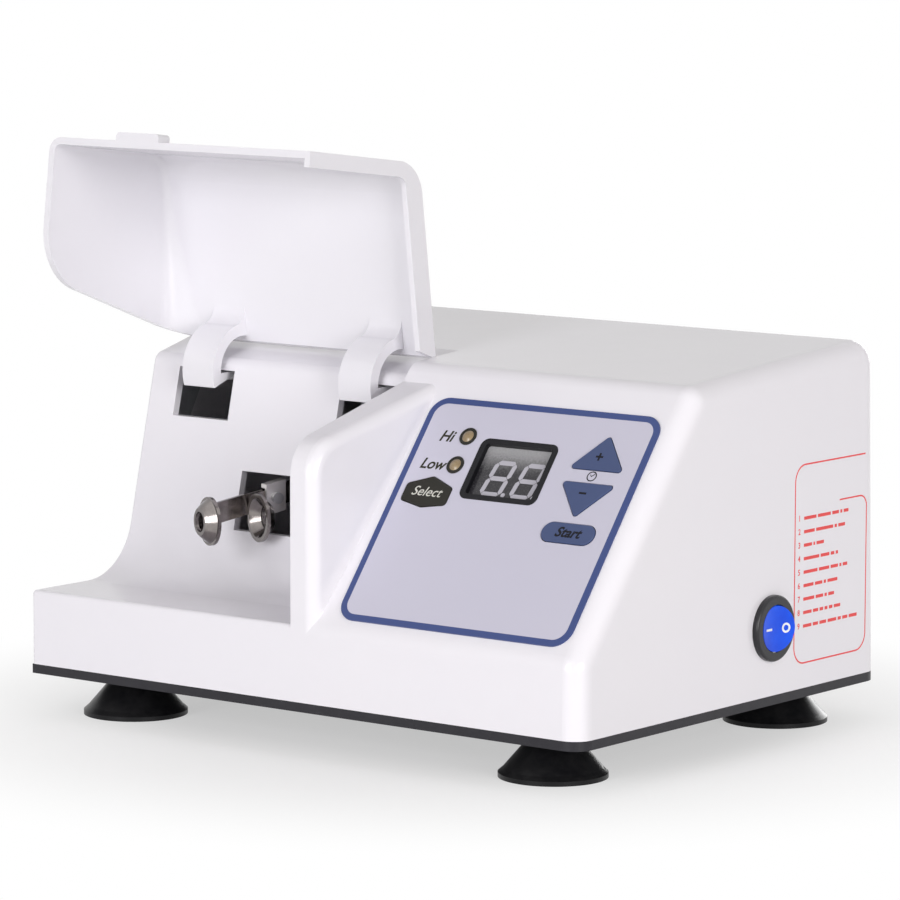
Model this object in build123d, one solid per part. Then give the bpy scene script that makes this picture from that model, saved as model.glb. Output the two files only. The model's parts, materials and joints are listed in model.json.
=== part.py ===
"""Dental amalgamator: a bench capsule mixer with a guarded bay, a sloped console and a wobble drive.

Bench frame while modelling, in millimetres: X runs to the right from the housing's left side, Y runs
to the rear from its front face, Z runs up from the table. Every piece is moved at the end so that the
origin is the middle of the object's footprint on the table.
"""

import os
from math import atan, atan2, cos, degrees, radians, sin, sqrt, tan

from build123d import *
from OCP.BRepFilletAPI import BRepFilletAPI_MakeFillet

# ------------------------------------------------------------------ housing
body_width = 241.4
body_depth = 177.8
wall = 3.0
foot_height = 14.5
plate_thick = 3.3
apron_height = 25.6
brow_depth = 66.5
brow_height = 110.2
rear_height = 118.1
rear_lean = 3.3
side_radius = 7.0
profile_radius = 8.0
edge_break = 1.2

# ------------------------------------------------------------------ capsule bay and cheek
bay_width = 119.4
tray_height = 26.5
tray_lip_radius = 1.5
bay_fillet = 24.0
wall_top_depth = 66.3
wall_top_height = 105.2
wall_top_radius = 4.5
wall_lean_angle = 13.3
slope_angle = 14.6
cheek_front_width = 10.1
cheek_draft_angle = 5.7
cheek_nose_radius = 14.0
cheek_edge_radius = 4.5
slot_width = 26.0
slot_left_x = 13.0
slot_right_x = 88.5
slot_bottom = 84.0
slot_top = 101.5
fork_hole_left = 49.2
fork_hole_width = 34.8
fork_hole_bottom = 46.4
fork_hole_height = 20.8

# ------------------------------------------------------------------ lid and its hinge
lid_wall = 2.5
lid_overhang = 2.0
lid_gap = 0.5
lid_rest_gap = 1.0
lid_rear_gap = 0.8
lid_side_radius = 5.0
lid_fold_radius = 16.0
lid_lip_depth = 9.5
lid_lip_taper = 4.0
lid_lip_thick = 2.2
lid_open_angle = 97.0
tab_left = 31.0
tab_width = 19.5
tab_proud = 2.9
tab_height = 6.0
tab_radius = 1.5
pivot_depth = 75.2
pivot_height = 101.0
arm_inner_radius = 12.2
arm_outer_radius = 16.5
arm_width = 14.5
arm_side_gap = 7.0
arm_start_angle = 172.0
arm_end_angle = 296.0
arm_web_angle = 17.0
arm_boss_radius = 4.2
arm_relief = 0.3
arm_flare_radius = 6.0
arm_flare_turn = 9.0
rod_radius = 2.0
rod_play = 0.05
bracket_thick = 2.5
bracket_gap = 1.0
bracket_foot = 18.0
stake_radius = 2.0
stake_inset = 4.0
fit_gap = 0.15
micro_length = 19.8
micro_width = 6.4
micro_tall = 10.2
micro_hole_radius = 1.2
micro_hole_height = 2.9
micro_holes = (5.1, 14.6)
micro_drop = 4.6
lever_gap = 0.8
lever_thick = 0.6
lever_rise = 1.4
lever_inset = 1.2
lever_root = 3.0

# ------------------------------------------------------------------ console controls
overlay_margin_left = 17.2
overlay_margin_right = 7.8
overlay_low = 5.4
overlay_length = 89.2
overlay_thick = 0.6
overlay_radius = 7.0
board_motor_gap = 7.24
board_thick = 1.6
board_margin_left = 5.4
board_margin_right = 0.6
board_high = 89.0
board_inset = 4.0
standoff_key_gap = 0.25
standoff_grip = 0.5
chip_row = 10.0
controller_place = 0.33
controller_share = 0.2
driver_place = 0.57
driver_share = 0.12
capacitor_place = 0.143
capacitor_rise = 1.0
chip_thick = 3.0
chip_width = 8.0
capacitor_radius = 4.0
capacitor_gap = 3.0
standoff_radius = 3.0
screw_radius = 1.5
screw_head_radius = 2.85
screw_head_thick = 2.0
screw_grip = 0.4
led_place = 0.2165
led_hi_s = 80.1
led_low_s = 68.6
led_radius = 2.5
led_proud = 1.1
led_flange = 3.0
window_place = 0.2876
window_share = 0.332
window_low = 56.4
window_length = 23.6
window_radius = 3.0
window_proud = 0.3
display_border = 2.0
display_seat = 0.5
key_proud = 0.4
key_edge = 0.2
key_gap = 0.25
key_travel = 0.5
key_stem_radius = 2.0
tact_size = 6.0
tact_height = 3.5
tact_plunger_radius = 1.6
tact_plunger_proud = 1.0
tact_play = 0.1
plus_place = 0.8093
plus_base = 72.1
plus_tip = 85.6
minus_place = 0.8052
minus_base = 66.9
minus_tip = 53.6
arrow_half_share = 0.1155
arrow_stem = 4.5
select_place = 0.1485
select_middle = 57.2
select_half_share = 0.1
select_half_length = 6.1
start_place = 0.8103
start_middle = 47.3
start_share = 0.2227
start_length = 7.6

# ------------------------------------------------------------------ rocker switch
switch_depth = 110.3
switch_height = 23.6
bezel_radius = 11.5
bezel_proud = 2.2
bezel_opening = 8.3
bezel_edge = 0.9
tag_pitch = 5.0
tag_thick = 0.8
tag_width = 4.8
tag_length = 8.0
barrel_radius = 10.0
barrel_length = 17.0
rocker_radius = 8.1
rocker_pivot_proud = 0.9
rocker_tilt = 10.0
rocker_edge_angle = 20.0
rocker_dish = 1.2
rocker_floor = 4.0
rocker_pin_radius = 0.8

# ------------------------------------------------------------------ mixing drive
hub_x = 87.0
hub_depth = 92.0
hub_height = 62.0
shaft_radius = 3.0
ball_radius = 9.0
ball_width = 15.0
ball_tilt = 8.0
ball_gap = 0.3
hub_radius = 15.0
hub_width = 14.0
arm_plan_angle = 24.8
swing_angle = 6.0
capsule_height = 53.0
cup_radius = 8.6
cup_wall = 1.2
cup_depth = 4.6
cup_nose_radius = 4.9
cup_nose_break = 0.8
cup_hole_radius = 3.6
cup_rim_width = 0.75
front_cup_reach = 73.0
capsule_gap = 27.0
strip_thick = 1.5
strip_height = 7.5
strip_bend_reach = 27.0
strip_root_reach = 11.0
hub_block_reach = 24.0
hub_block_length = 15.0
clamp_reach = 37.0
clamp_length = 7.5
clamp_height = 11.0
clamp_head_radius = 2.0
clamp_thick = 1.4
clamp_gap = 0.3
screw_play = 0.1
motor_left = 125.5
motor_length = 64.0
motor_radius = 25.0
motor_cap = 3.0
motor_wall = 2.5
rotor_inset = 14.0
rotor_radius = 17.0
bearing_length = 6.0
shaft_end = 3.0
collar_width = 4.0
motor_plate = 3.0
motor_plate_half = 27.0
motor_plate_rise = 15.0
motor_plate_gap = 2.28
motor_foot_length = 60.0
motor_screw_half = 14.0
motor_screw_drop = 10.5
grommet_inset = 7.0
grommet_height = 4.0
grommet_radius = 5.0
spring_radius = 3.6
spring_wire = 0.45
spring_turns = 6
spring_reach = 24.0
spring_length = 12.0
spring_plate = 2.0
spring_plate_width = 14.0
lug_thick = 5.0
arm_screw_depth = 5.0
arm_screw_head = 2.55

# ------------------------------------------------------------------ base, feet, electrics
foot_lip_radius = 18.5
foot_neck_radius = 8.5
foot_lip_thick = 1.6
foot_inset_x = 28.0
foot_inset_y = 23.5
foot_pad_width = 1.6
foot_crown = 6.5
foot_nut_radius = 3.2
foot_nut_thick = 2.4
drive_depth = 0.7
boss_radius = 4.0
boss_height = 18.0
boss_inset = 6.2
vent_count = 7
vent_pitch = 7.0
vent_length = 44.0
vent_width = 3.0
inlet_x = 55.0
inlet_height = 26.0
inlet_width = 31.0
inlet_tall = 24.0
inlet_proud = 2.0
inlet_hollow_width = 24.0
inlet_hollow_tall = 16.4
inlet_hollow_depth = 16.0
inlet_step = 2.0
inlet_corner = 5.0
pin_pitch = 7.0
pin_rise = 2.0
pin_width = 2.0
pin_tall = 4.0
pin_tail = 10.0
pin_recess = 2.0
fuse_x = 95.0
fuse_radius = 7.0
fuse_barrel = 6.0
fuse_proud = 5.0
fuse_length = 26.0
fuse_bore = 4.0
fuse_flange = 1.5
fuse_stem = 8.0
coin_slot_length = 8.0
coin_slot_width = 1.4
transformer_inset = 56.4
transformer_place = 0.48
core_width = 42.0
core_depth = 34.0
core_height = 36.0
core_yoke = 7.0
core_window_in = 0.16
core_window_out = 0.34
coil_bulge = 6.0
coil_gap = 0.2
terminal_x = 28.0
terminal_setback = 49.8
terminal_ways = 3
terminal_pitch = 10.0
terminal_depth = 16.0
terminal_height = 12.0

# ------------------------------------------------------------------ sizes that follow
deck = foot_height + plate_thick
panel_angle = degrees(atan2(brow_height - apron_height, brow_depth))
slope = tan(radians(slope_angle))
wall_lean = tan(radians(wall_lean_angle))
wall_foot_depth = wall_top_depth - (wall_top_height - tray_height) * wall_lean
nose_height = wall_top_height - wall_top_depth * slope
top_rise = (rear_height - brow_height) / (body_depth - rear_lean - brow_depth)
facet_end = (wall_top_height - wall_top_depth * slope - brow_height + brow_depth * top_rise) / (
    top_rise - slope
)
facet_end_height = nose_height + facet_end * slope
pivot_z = deck + pivot_height
hub_z = deck + hub_height
panel_normal = (0, -sin(radians(panel_angle)), cos(radians(panel_angle)))
panel = Plane(origin=(0, 0, deck + apron_height), x_dir=(1, 0, 0), z_dir=panel_normal)
switch_reach = rocker_pivot_proud + rocker_radius * sin(radians(rocker_edge_angle + rocker_tilt))
rear_wall_y = body_depth - rear_lean * inlet_height / rear_height
rear_normal = (0, cos(atan(rear_lean / rear_height)), sin(atan(rear_lean / rear_height)))
overlay_left = bay_width + overlay_margin_left
overlay_width = body_width - overlay_margin_right - overlay_left
led_x = overlay_left + led_place * overlay_width
window_left = overlay_left + window_place * overlay_width
window_width = window_share * overlay_width
plus_key = (overlay_left + plus_place * overlay_width, plus_base, plus_tip)
minus_key = (overlay_left + minus_place * overlay_width, minus_base, minus_tip)
arrow_half_width = arrow_half_share * overlay_width
select_key = (overlay_left + select_place * overlay_width, select_middle)
select_half_width = select_half_share * overlay_width
start_key = (overlay_left + start_place * overlay_width, start_middle)
start_width = start_share * overlay_width
plate_top = hub_z + motor_plate_rise
plate_front = wall_foot_depth + (plate_top - deck - tray_height) * wall_lean
plate_front += wall / cos(radians(wall_lean_angle)) + motor_plate_gap
plate_rear = hub_depth + motor_plate_half
motor_below = -panel.to_local_coords(Vector(0, hub_depth, hub_z)).Z
board_depth = motor_below - motor_radius - board_motor_gap - board_thick
board_left = overlay_left + board_margin_left
board_width = overlay_width - board_margin_left - board_margin_right
board_low = start_middle - start_length / 2 - key_gap - standoff_key_gap - standoff_radius - board_inset
board_length = board_high - board_low
standoff_length = board_depth - wall
transformer_x = body_width - transformer_inset
transformer_y = plate_rear + transformer_place * (rear_wall_y - wall - plate_rear)
terminal_y = body_depth - terminal_setback
origin_x = (body_width + switch_reach) / 2
origin_y = (rear_wall_y + fuse_proud) / 2

pieces = {}


def add(name, shape):
    """Keep a finished piece, moved from the bench frame to the object's own frame."""
    pieces[name] = Pos(-origin_x, -origin_y, 0) * shape


def profile(corners):
    """Side-view face in the YZ plane through (y, z, radius) corners."""
    line = FilletPolyline(
        *[(y, z) for y, z, _ in corners],
        radius=[radius for _, _, radius in corners],
        close=True,
    )
    return make_face(line)


def prism(face, x_from, x_to):
    """Extrude a side-view face along X."""
    return extrude(Plane.YZ.offset(x_from) * face, amount=x_to - x_from, dir=(1, 0, 0))


def group(shapes):
    """Several separate solids kept as one node."""
    return Compound(list(shapes))


def block(x_span, y_span, z_span):
    """Box between the given limits."""
    middle = Pos((x_span[0] + x_span[1]) / 2, (y_span[0] + y_span[1]) / 2, (z_span[0] + z_span[1]) / 2)
    return middle * Box(x_span[1] - x_span[0], y_span[1] - y_span[0], z_span[1] - z_span[0])


def rod_x(x_from, x_to, y, z, radius):
    """Cylinder along X."""
    return Pos((x_from + x_to) / 2, y, z) * Rot(0, 90, 0) * Cylinder(radius, x_to - x_from)


def rod_z(x, y, z_from, z_to, radius):
    """Upright cylinder."""
    return Pos(x, y, (z_from + z_to) / 2) * Cylinder(radius, z_to - z_from)


def on_panel(face, depth_from, depth_to):
    """Extrude a face drawn on the console slope, between two depths below its surface."""
    return extrude(panel.offset(-depth_to) * face, amount=depth_to - depth_from, dir=panel_normal)


def on_rear(x):
    """Plane on the rear wall at a fitting's centre: local x to the left, y up, z outwards."""
    return Plane(origin=(x, rear_wall_y, deck + inlet_height), x_dir=(-1, 0, 0), z_dir=rear_normal)


def rear_plate(x, shape, z_from, z_to):
    """Extrude a face drawn on the rear wall between two heights above it."""
    return extrude(on_rear(x).offset(z_from) * shape, amount=z_to - z_from, dir=rear_normal)


# ------------------------------------------------------------------ housing sections
def console_section(inset, foot_z):
    """Console side view: apron, slope, top and rear wall, inset evenly and carried down to foot_z."""
    radius = profile_radius
    rear_slope = rear_lean / rear_height
    foot_rear = body_depth + (deck - foot_z) * rear_slope
    shape = profile(
        [
            (0, foot_z - wall, 0),
            (0, deck + apron_height, radius),
            (brow_depth, deck + brow_height, radius),
            (body_depth - rear_lean, deck + rear_height, radius),
            (foot_rear + wall * rear_slope, foot_z - wall, 0),
        ]
    )
    return trimmed(shape, inset, foot_z)


def bay_section(inset, foot_z):
    """Bay side view: tray, floor fillet, leaning wall, facet, top and rear wall."""
    rear_slope = rear_lean / rear_height
    shape = profile(
        [
            (0, foot_z - wall, 0),
            (0, deck + tray_height, tray_lip_radius),
            (wall_foot_depth, deck + tray_height, bay_fillet),
            (wall_top_depth, deck + wall_top_height, wall_top_radius),
            (facet_end, deck + facet_end_height, 0),
            (body_depth - rear_lean, deck + rear_height, profile_radius),
            (body_depth + (deck - foot_z + wall) * rear_slope, foot_z - wall, 0),
        ]
    )
    return trimmed(shape, inset, foot_z)


def cheek_section(inset, foot_z):
    """Cheek side view: upright nose, rounded corner and long slope that runs into the facet."""
    shape = profile(
        [
            (0, foot_z - wall, 0),
            (0, deck + nose_height, cheek_nose_radius),
            (facet_end, deck + facet_end_height, 0),
            (facet_end, foot_z - wall, 0),
        ]
    )
    return trimmed(shape, inset, foot_z)


def trimmed(shape, inset, foot_z):
    """Inset a section by a wall thickness and cut it off level at foot_z."""
    if inset:
        shape = offset(shape, amount=-inset, kind=Kind.INTERSECTION)
    keep = Pos(body_depth / 2, foot_z + body_depth) * Rectangle(2 * body_depth, 2 * body_depth)
    return shape & keep


def right_outline(shape, x_plane, low):
    """Edges of the side face at x_plane, apart from the one along the bottom."""
    found = shape.edges().filter_by_position(Axis.X, x_plane - 0.01, x_plane + 0.01)
    return [edge for edge in found if edge.center().Z > low + 0.01]


def cheek_wedge(inset):
    """Plan of the cheek, wider to the rear by its draft."""
    spread = tan(radians(cheek_draft_angle))
    left = bay_width + inset
    right = bay_width + cheek_front_width - inset / cos(radians(cheek_draft_angle))
    rear = facet_end
    front_right = (right - wall * spread, -wall)
    rear_right = (right + rear * spread, rear)
    plan = Polygon((left, -wall), front_right, rear_right, (left, rear), align=None)
    return extrude(plan, amount=deck + rear_height)


def cheek_block(inset, foot_z):
    """Cheek as a prism trimmed to its plan."""
    rear_width = cheek_front_width + facet_end * tan(radians(cheek_draft_angle))
    shape = prism(cheek_section(inset, foot_z), bay_width + inset, bay_width + rear_width + wall)
    return shape & cheek_wedge(inset)


def cheek_flank_edges(shape):
    """Nose and slope edges on the cheek's console side."""
    found = []
    for edge in shape.edges():
        middle = edge.center()
        spread = middle.Y * tan(radians(cheek_draft_angle))
        on_flank = abs(middle.X - bay_width - cheek_front_width - spread) < 1.0
        outside = middle.Y < 1.0 or middle.Z > deck + nose_height - cheek_nose_radius
        if on_flank and outside and middle.Y < facet_end - 1.0 and middle.Z > deck + 1.0:
            found.append(edge)
    return found


def housing_outer():
    """Outside form of the housing."""
    console = prism(console_section(0, deck), bay_width, body_width)
    console = fillet(right_outline(console, body_width, deck), side_radius)
    bay = prism(bay_section(0, deck), 0, bay_width)
    bay = fillet(right_outline(bay, 0, deck), edge_break)
    cheek = cheek_block(0, deck)
    cheek = fillet(cheek_flank_edges(cheek), cheek_edge_radius)
    return console + bay + cheek


def housing_cavity():
    """Hollow of the housing, open at the bottom."""
    low = deck - wall
    console = prism(console_section(wall, low), bay_width + wall, body_width - wall)
    console = fillet(right_outline(console, body_width - wall, low), side_radius - wall)
    bay = prism(bay_section(wall, low), wall, bay_width + wall + 1)
    cheek = cheek_block(wall, low)
    return console + bay + cheek


def boss_places():
    """Centres of the four base-screw bosses."""
    right = body_width - boss_inset
    rear = body_depth - boss_inset
    return [(boss_inset, boss_inset), (right, boss_inset), (boss_inset, rear), (right, rear)]


def foot_places():
    """Names and centres of the four feet."""
    right = body_width - foot_inset_x
    rear = body_depth - foot_inset_y
    return {
        "foot_front_left": (foot_inset_x, foot_inset_y),
        "foot_front_right": (right, foot_inset_y),
        "foot_rear_left": (foot_inset_x, rear),
        "foot_rear_right": (right, rear),
    }


# ------------------------------------------------------------------ console key outlines
def arrow_outline(base_key, gap):
    """Triangle key: base and tip along the slope, rounded, grown by gap."""
    x, base, tip = base_key
    shape = Polygon((x - arrow_half_width, base), (x + arrow_half_width, base), (x, tip), align=None)
    shape = fillet(shape.vertices(), 1.0)
    return offset(shape, amount=gap, kind=Kind.ARC) if gap else shape


def select_outline(gap):
    """House-shaped key with its two sloping ends."""
    x, s = select_key
    w = select_half_width
    h = select_half_length
    shape = Polygon(
        (x, s + h),
        (x + w, s + 0.38 * h),
        (x + w, s - 0.72 * h),
        (x, s - h),
        (x - w, s - 0.66 * h),
        (x - w, s + 0.42 * h),
        align=None,
    )
    shape = fillet(shape.vertices(), 1.4)
    return offset(shape, amount=gap, kind=Kind.ARC) if gap else shape


def start_outline(gap):
    """Pill-shaped key."""
    shape = Pos(*start_key) * SlotOverall(start_width + 2 * gap, start_length + 2 * gap)
    return shape


def key_list():
    """Each key's outline function and the place of its stem."""
    return {
        "select": (select_outline, select_key),
        "plus": (lambda gap: arrow_outline(plus_key, gap), (plus_key[0], plus_base + arrow_stem)),
        "minus": (lambda gap: arrow_outline(minus_key, gap), (minus_key[0], minus_base - arrow_stem)),
        "start": (start_outline, start_key),
    }


def window_outline(grow):
    """Display opening."""
    centre = Pos(window_left + window_width / 2, window_low + window_length / 2)
    return centre * RectangleRounded(window_width + 2 * grow, window_length + 2 * grow, window_radius + grow)


def board_corners():
    """Places of the board's four screws on the slope."""
    left = board_left + board_inset
    right = board_left + board_width - board_inset
    low = board_low + board_inset
    high = board_low + board_length - board_inset
    return [(left, low), (right, low), (left, high), (right, high)]


# ------------------------------------------------------------------ housing
def slot_cut(x_left):
    """Hinge slot through the bay's back wall."""
    rear = pivot_depth - rod_radius
    front = wall_foot_depth
    return block((x_left, x_left + slot_width), (front, rear), (deck + slot_bottom, deck + slot_top))


def wall_point(height, depth_in):
    """Point of the bay's back wall at a height, depth_in behind its face."""
    y = wall_top_depth - (wall_top_height - height) * wall_lean
    return y + depth_in / cos(radians(wall_lean_angle)), deck + height


def bracket_stakes(x_left, radius, depth_from, depth_to):
    """Two stakes behind the back wall, under a hinge slot."""
    y, z = wall_point(slot_bottom - bracket_foot / 2, 0)
    inwards = (0, cos(radians(wall_lean_angle)), -sin(radians(wall_lean_angle)))
    stakes = []
    for x in (x_left + stake_inset, x_left + slot_width - stake_inset):
        place = Plane(origin=(x, y, z), z_dir=inwards)
        stakes.append(extrude(place.offset(depth_from) * Circle(radius), amount=depth_to - depth_from))
    return stakes[0] + stakes[1]


def make_housing():
    shell = housing_outer() - housing_cavity()
    for x, y in boss_places():
        shell += rod_z(x, y, deck, deck + boss_height, boss_radius) & housing_outer()
    for x, y in boss_places():
        shell -= rod_z(x, y, deck - 1, deck + boss_height - wall, screw_radius)
    for x_left in (slot_left_x, slot_right_x):
        shell -= slot_cut(x_left)
        relief = arm_boss_radius + arm_relief
        shell -= rod_x(x_left, x_left + slot_width, pivot_depth, pivot_z, relief)
        shell += bracket_stakes(x_left, stake_radius, wall - 0.5, wall + bracket_thick + 1)
    hole_right = fork_hole_left + fork_hole_width
    hole_top = deck + fork_hole_bottom + fork_hole_height
    shell -= block(
        (fork_hole_left, hole_right),
        (wall_foot_depth - bay_fillet, wall_top_depth),
        (deck + fork_hole_bottom, hole_top),
    )
    shell -= on_panel(window_outline(fit_gap), -1, wall + 1)
    for outline_of, _ in key_list().values():
        shell -= on_panel(outline_of(key_gap), -1, wall + 1)
    for s in (led_hi_s, led_low_s):
        shell -= on_panel(Pos(led_x, s) * Circle(led_radius + fit_gap), -1, wall + 1)
    switch_z = deck + switch_height
    shell -= rod_x(body_width - 2 * wall, body_width + 1, switch_depth, switch_z, barrel_radius + fit_gap)
    shell -= rear_plate(inlet_x, inlet_body_outline(fit_gap), -2 * wall, wall)
    shell -= rear_plate(fuse_x, Circle(fuse_barrel + fit_gap), -2 * wall, wall)
    return shell


def inlet_body_outline(grow):
    """Outline of the inlet's body, a step inside its flange."""
    shrink = 2 * (grow - inlet_step)
    return Rectangle(inlet_width + shrink, inlet_tall + shrink)


def footprint(inset):
    """Plan outline that the base plate shares with the housing."""
    width = body_width - 2 * inset
    depth = body_depth - 2 * inset
    plan = Pos(body_width / 2, body_depth / 2) * Rectangle(width, depth)
    right_corners = plan.vertices().filter_by_position(Axis.X, body_width - inset - 1, body_width + 1)
    return fillet(right_corners, side_radius - inset)


def make_base():
    plate = extrude(Plane.XY.offset(foot_height) * footprint(0), amount=plate_thick)
    for x, y in boss_places():
        plate -= rod_z(x, y, foot_height - 1, deck + 1, screw_radius + fit_gap)
        sink = Cone(2 * screw_radius + fit_gap, screw_radius + fit_gap, screw_radius)
        plate -= Pos(x, y, foot_height + screw_radius / 2) * sink
    for x, y in foot_places().values():
        plate -= rod_z(x, y, foot_height - 1, deck + 1, screw_radius + fit_gap)
    for index in range(vent_count):
        x = body_width / 2 + (index - (vent_count - 1) / 2) * vent_pitch
        slot = Pos(x, body_depth / 2, foot_height - 1) * Rot(0, 0, 90) * SlotOverall(vent_length, vent_width)
        plate -= extrude(slot, amount=plate_thick + 2)
    return plate


def base_screw(x, y):
    """Countersunk screw up through the plate into its boss."""
    head = Pos(x, y, foot_height + screw_radius / 2) * Cone(2 * screw_radius, screw_radius, screw_radius)
    shank = rod_z(x, y, foot_height + 0.5, deck + boss_height - 2 * wall, screw_radius - fit_gap / 2)
    drive = rod_z(x, y, foot_height - 0.1, foot_height + drive_depth, screw_radius * 0.7)
    return head + shank - drive


def make_foot(x, y):
    """Suction foot: neck, flaring bell and thin lip, hollow underneath."""
    lip = foot_lip_radius
    neck = foot_neck_radius
    height = foot_height
    outer = [
        (0, height),
        (neck, height),
        (neck + 0.6, height - 2.4),
        (lip - 1.6, foot_lip_thick + 1.4),
        (lip, foot_lip_thick),
        (lip, 0),
        (lip - foot_pad_width, 0),
    ]
    lines = Polyline(*outer)
    hollow = ThreePointArc((lip - foot_pad_width, 0), (lip * 0.55, foot_crown * 0.72), (0, foot_crown))
    axis = Line((0, foot_crown), (0, height))
    section = Plane.XZ * make_face(Curve() + [lines, hollow, axis])
    bell = revolve(section, axis=Axis.Z)
    bell -= Cylinder(screw_radius + fit_gap, 3 * height)
    bell -= rod_z(0, 0, 0, foot_screw_seat(), 2 * screw_radius + 2 * fit_gap)
    return Pos(x, y, 0) * bell


def foot_screw_seat():
    """Height of the shoulder in a foot's neck that its screw head bears on."""
    return foot_crown + (foot_height - foot_crown) / 2


def foot_screw(x, y):
    """Pan-head screw up through the foot and the plate, with its nut inside the housing."""
    seat = foot_screw_seat()
    head = rod_z(x, y, seat - 2, seat, 2 * screw_radius)
    shank = rod_z(x, y, seat - 0.5, deck + foot_nut_thick + 2, screw_radius)
    nut = extrude(Pos(x, y, deck) * RegularPolygon(foot_nut_radius, 6), amount=foot_nut_thick)
    return head + shank + nut


# ------------------------------------------------------------------ lid
def lid_profile(inset, open_end):
    """Side view of the lid when shut; open_end carries it past its rear and lower edges."""
    front = -lid_overhang + inset
    low = deck + tray_height + lid_rest_gap - open_end
    rise = inset / cos(radians(slope_angle))
    line_offset = lid_rear_gap / cos(radians(wall_lean_angle)) - open_end
    foot = wall_foot_depth - line_offset
    gap = lid_rear_gap + lid_rest_gap
    face_shift = wall_foot_depth - (deck + tray_height) * wall_lean
    top_y = (deck + nose_height - rise) * wall_lean + face_shift - line_offset
    top_y = top_y / (1 - slope * wall_lean)
    top_z = deck + nose_height - rise + top_y * slope
    low_shift = (low - deck - tray_height) * wall_lean
    return profile(
        [
            (front, low, 0),
            (foot + low_shift, low, max(bay_fillet - gap, 0.5)),
            (top_y, top_z, 0),
            (front, deck + nose_height - rise + front * slope, cheek_nose_radius - inset),
        ]
    )


def lid_side_fillet(shape, x_plane, inset):
    """Round the lid's left outline: small on the front and nose, growing up the slope to its rear end."""
    at_side = shape.edges().filter_by_position(Axis.X, x_plane - 0.01, x_plane + 0.01)
    slope_edge = at_side.filter_by(lambda edge: edge.center().Z > deck + nose_height)[0]
    first, last = (0, 1) if slope_edge.is_forward else (1, 0)
    rear_first = slope_edge.position_at(first).Y > slope_edge.position_at(last).Y
    radii = (lid_fold_radius - inset, lid_side_radius - inset)
    maker = BRepFilletAPI_MakeFillet(shape.wrapped)
    maker.Add(*(radii if rear_first else radii[::-1]), slope_edge.wrapped)
    return Compound(maker.Shape())


def make_lid_shut():
    """Lid in its shut place: front and slope sheet, full left wall and a narrow right lip."""
    right = bay_width - lid_gap
    outer = prism(lid_profile(0, 0), 0, right)
    outer = lid_side_fillet(outer, 0, 0)
    hollow = prism(lid_profile(lid_wall, 3 * lid_wall), lid_wall, right + 1)
    hollow = lid_side_fillet(hollow, lid_wall, lid_wall)
    sheet = outer - hollow
    lip = prism(lid_profile(0, 0), right - lid_lip_thick, right)
    inside = prism(lid_profile(lid_lip_depth, 3 * lid_lip_depth), right - 2 * lid_lip_thick, right + 1)
    lip -= Pos(0, -lid_lip_taper, 0) * inside
    low = deck + tray_height + lid_rest_gap
    tab_y = (-lid_overhang - tab_proud, -lid_overhang + 1)
    tab = block((tab_left, tab_left + tab_width), tab_y, (low, low + tab_height))
    tab = fillet(tab.edges().filter_by(Axis.Z).group_by(Axis.Y)[0], tab_radius)
    return sheet + lip + tab


def ring_point(radius, angle):
    """Point at a radius and an angle about the lid's pivot, in the side view."""
    return pivot_depth + radius * cos(radians(angle)), pivot_z + radius * sin(radians(angle))


def ring_sector(inner, outer, start, end):
    """Side-view face of a ring between two angles."""
    middle = (start + end) / 2
    far = ThreePointArc(ring_point(outer, start), ring_point(outer, middle), ring_point(outer, end))
    near = ThreePointArc(ring_point(inner, end), ring_point(inner, middle), ring_point(inner, start))
    first = Line(ring_point(inner, start), ring_point(outer, start))
    last = Line(ring_point(outer, end), ring_point(inner, end))
    return make_face(Curve() + [far, near, first, last])


def flare_outline():
    """Side-view flare where the arm's ring runs into the lid's slope, hollow by one arc."""
    sheet_drop = deck + nose_height - lid_wall / cos(radians(slope_angle)) + pivot_depth * slope - pivot_z
    drop = sheet_drop - arm_flare_radius / cos(radians(slope_angle))
    reach = arm_outer_radius + arm_flare_radius
    grade = 1 + slope**2
    y = -(slope * drop + sqrt((slope * drop) ** 2 - grade * (drop**2 - reach**2))) / grade
    centre = Vector(pivot_depth + y, pivot_z + drop + y * slope)
    corner = Vector(*ring_point(arm_outer_radius, arm_start_angle + arm_flare_turn))
    on_sheet = centre + Vector(-slope, 1).normalized() * arm_flare_radius
    on_ring = centre + (Vector(pivot_depth, pivot_z) - centre).normalized() * arm_flare_radius
    middle = centre + (corner - centre).normalized() * arm_flare_radius
    heel = Vector(*ring_point(arm_outer_radius - 1, arm_start_angle))
    arc = ThreePointArc(on_sheet, middle, on_ring)
    return make_face(Curve() + [arc, Line(on_ring, heel), Line(heel, on_sheet)])


def make_arm_shut(x_left, lid):
    """Gooseneck from the lid's inner face, round under the wall top, to the boss on the rod."""
    ring = ring_sector(arm_inner_radius, arm_outer_radius, arm_start_angle, arm_end_angle)
    web_inner = arm_boss_radius - 1
    web = ring_sector(web_inner, arm_inner_radius + 1, arm_end_angle - arm_web_angle, arm_end_angle)
    boss = Pos(pivot_depth, pivot_z) * Circle(arm_boss_radius)
    arm = prism(ring, x_left, x_left + arm_width) + prism(web, x_left, x_left + arm_width)
    arm += prism(boss, x_left, x_left + arm_width)
    arm += prism(flare_outline(), x_left, x_left + arm_width)
    arm -= rod_x(x_left - 1, x_left + arm_width + 1, pivot_depth, pivot_z, rod_radius + rod_play)
    arm -= lid
    return max(arm.solids(), key=lambda solid: solid.volume)


def opened(shape):
    """Turn a shut lid piece to the open rest position."""
    to_pivot = Pos(0, -pivot_depth, -pivot_z)
    return Pos(0, pivot_depth, pivot_z) * Rot(-lid_open_angle, 0, 0) * to_pivot * shape


def arm_lefts():
    return {
        "lid_arm_left": slot_left_x + arm_side_gap,
        "lid_arm_right": slot_right_x + (slot_width - arm_width) / 3,
    }


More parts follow.
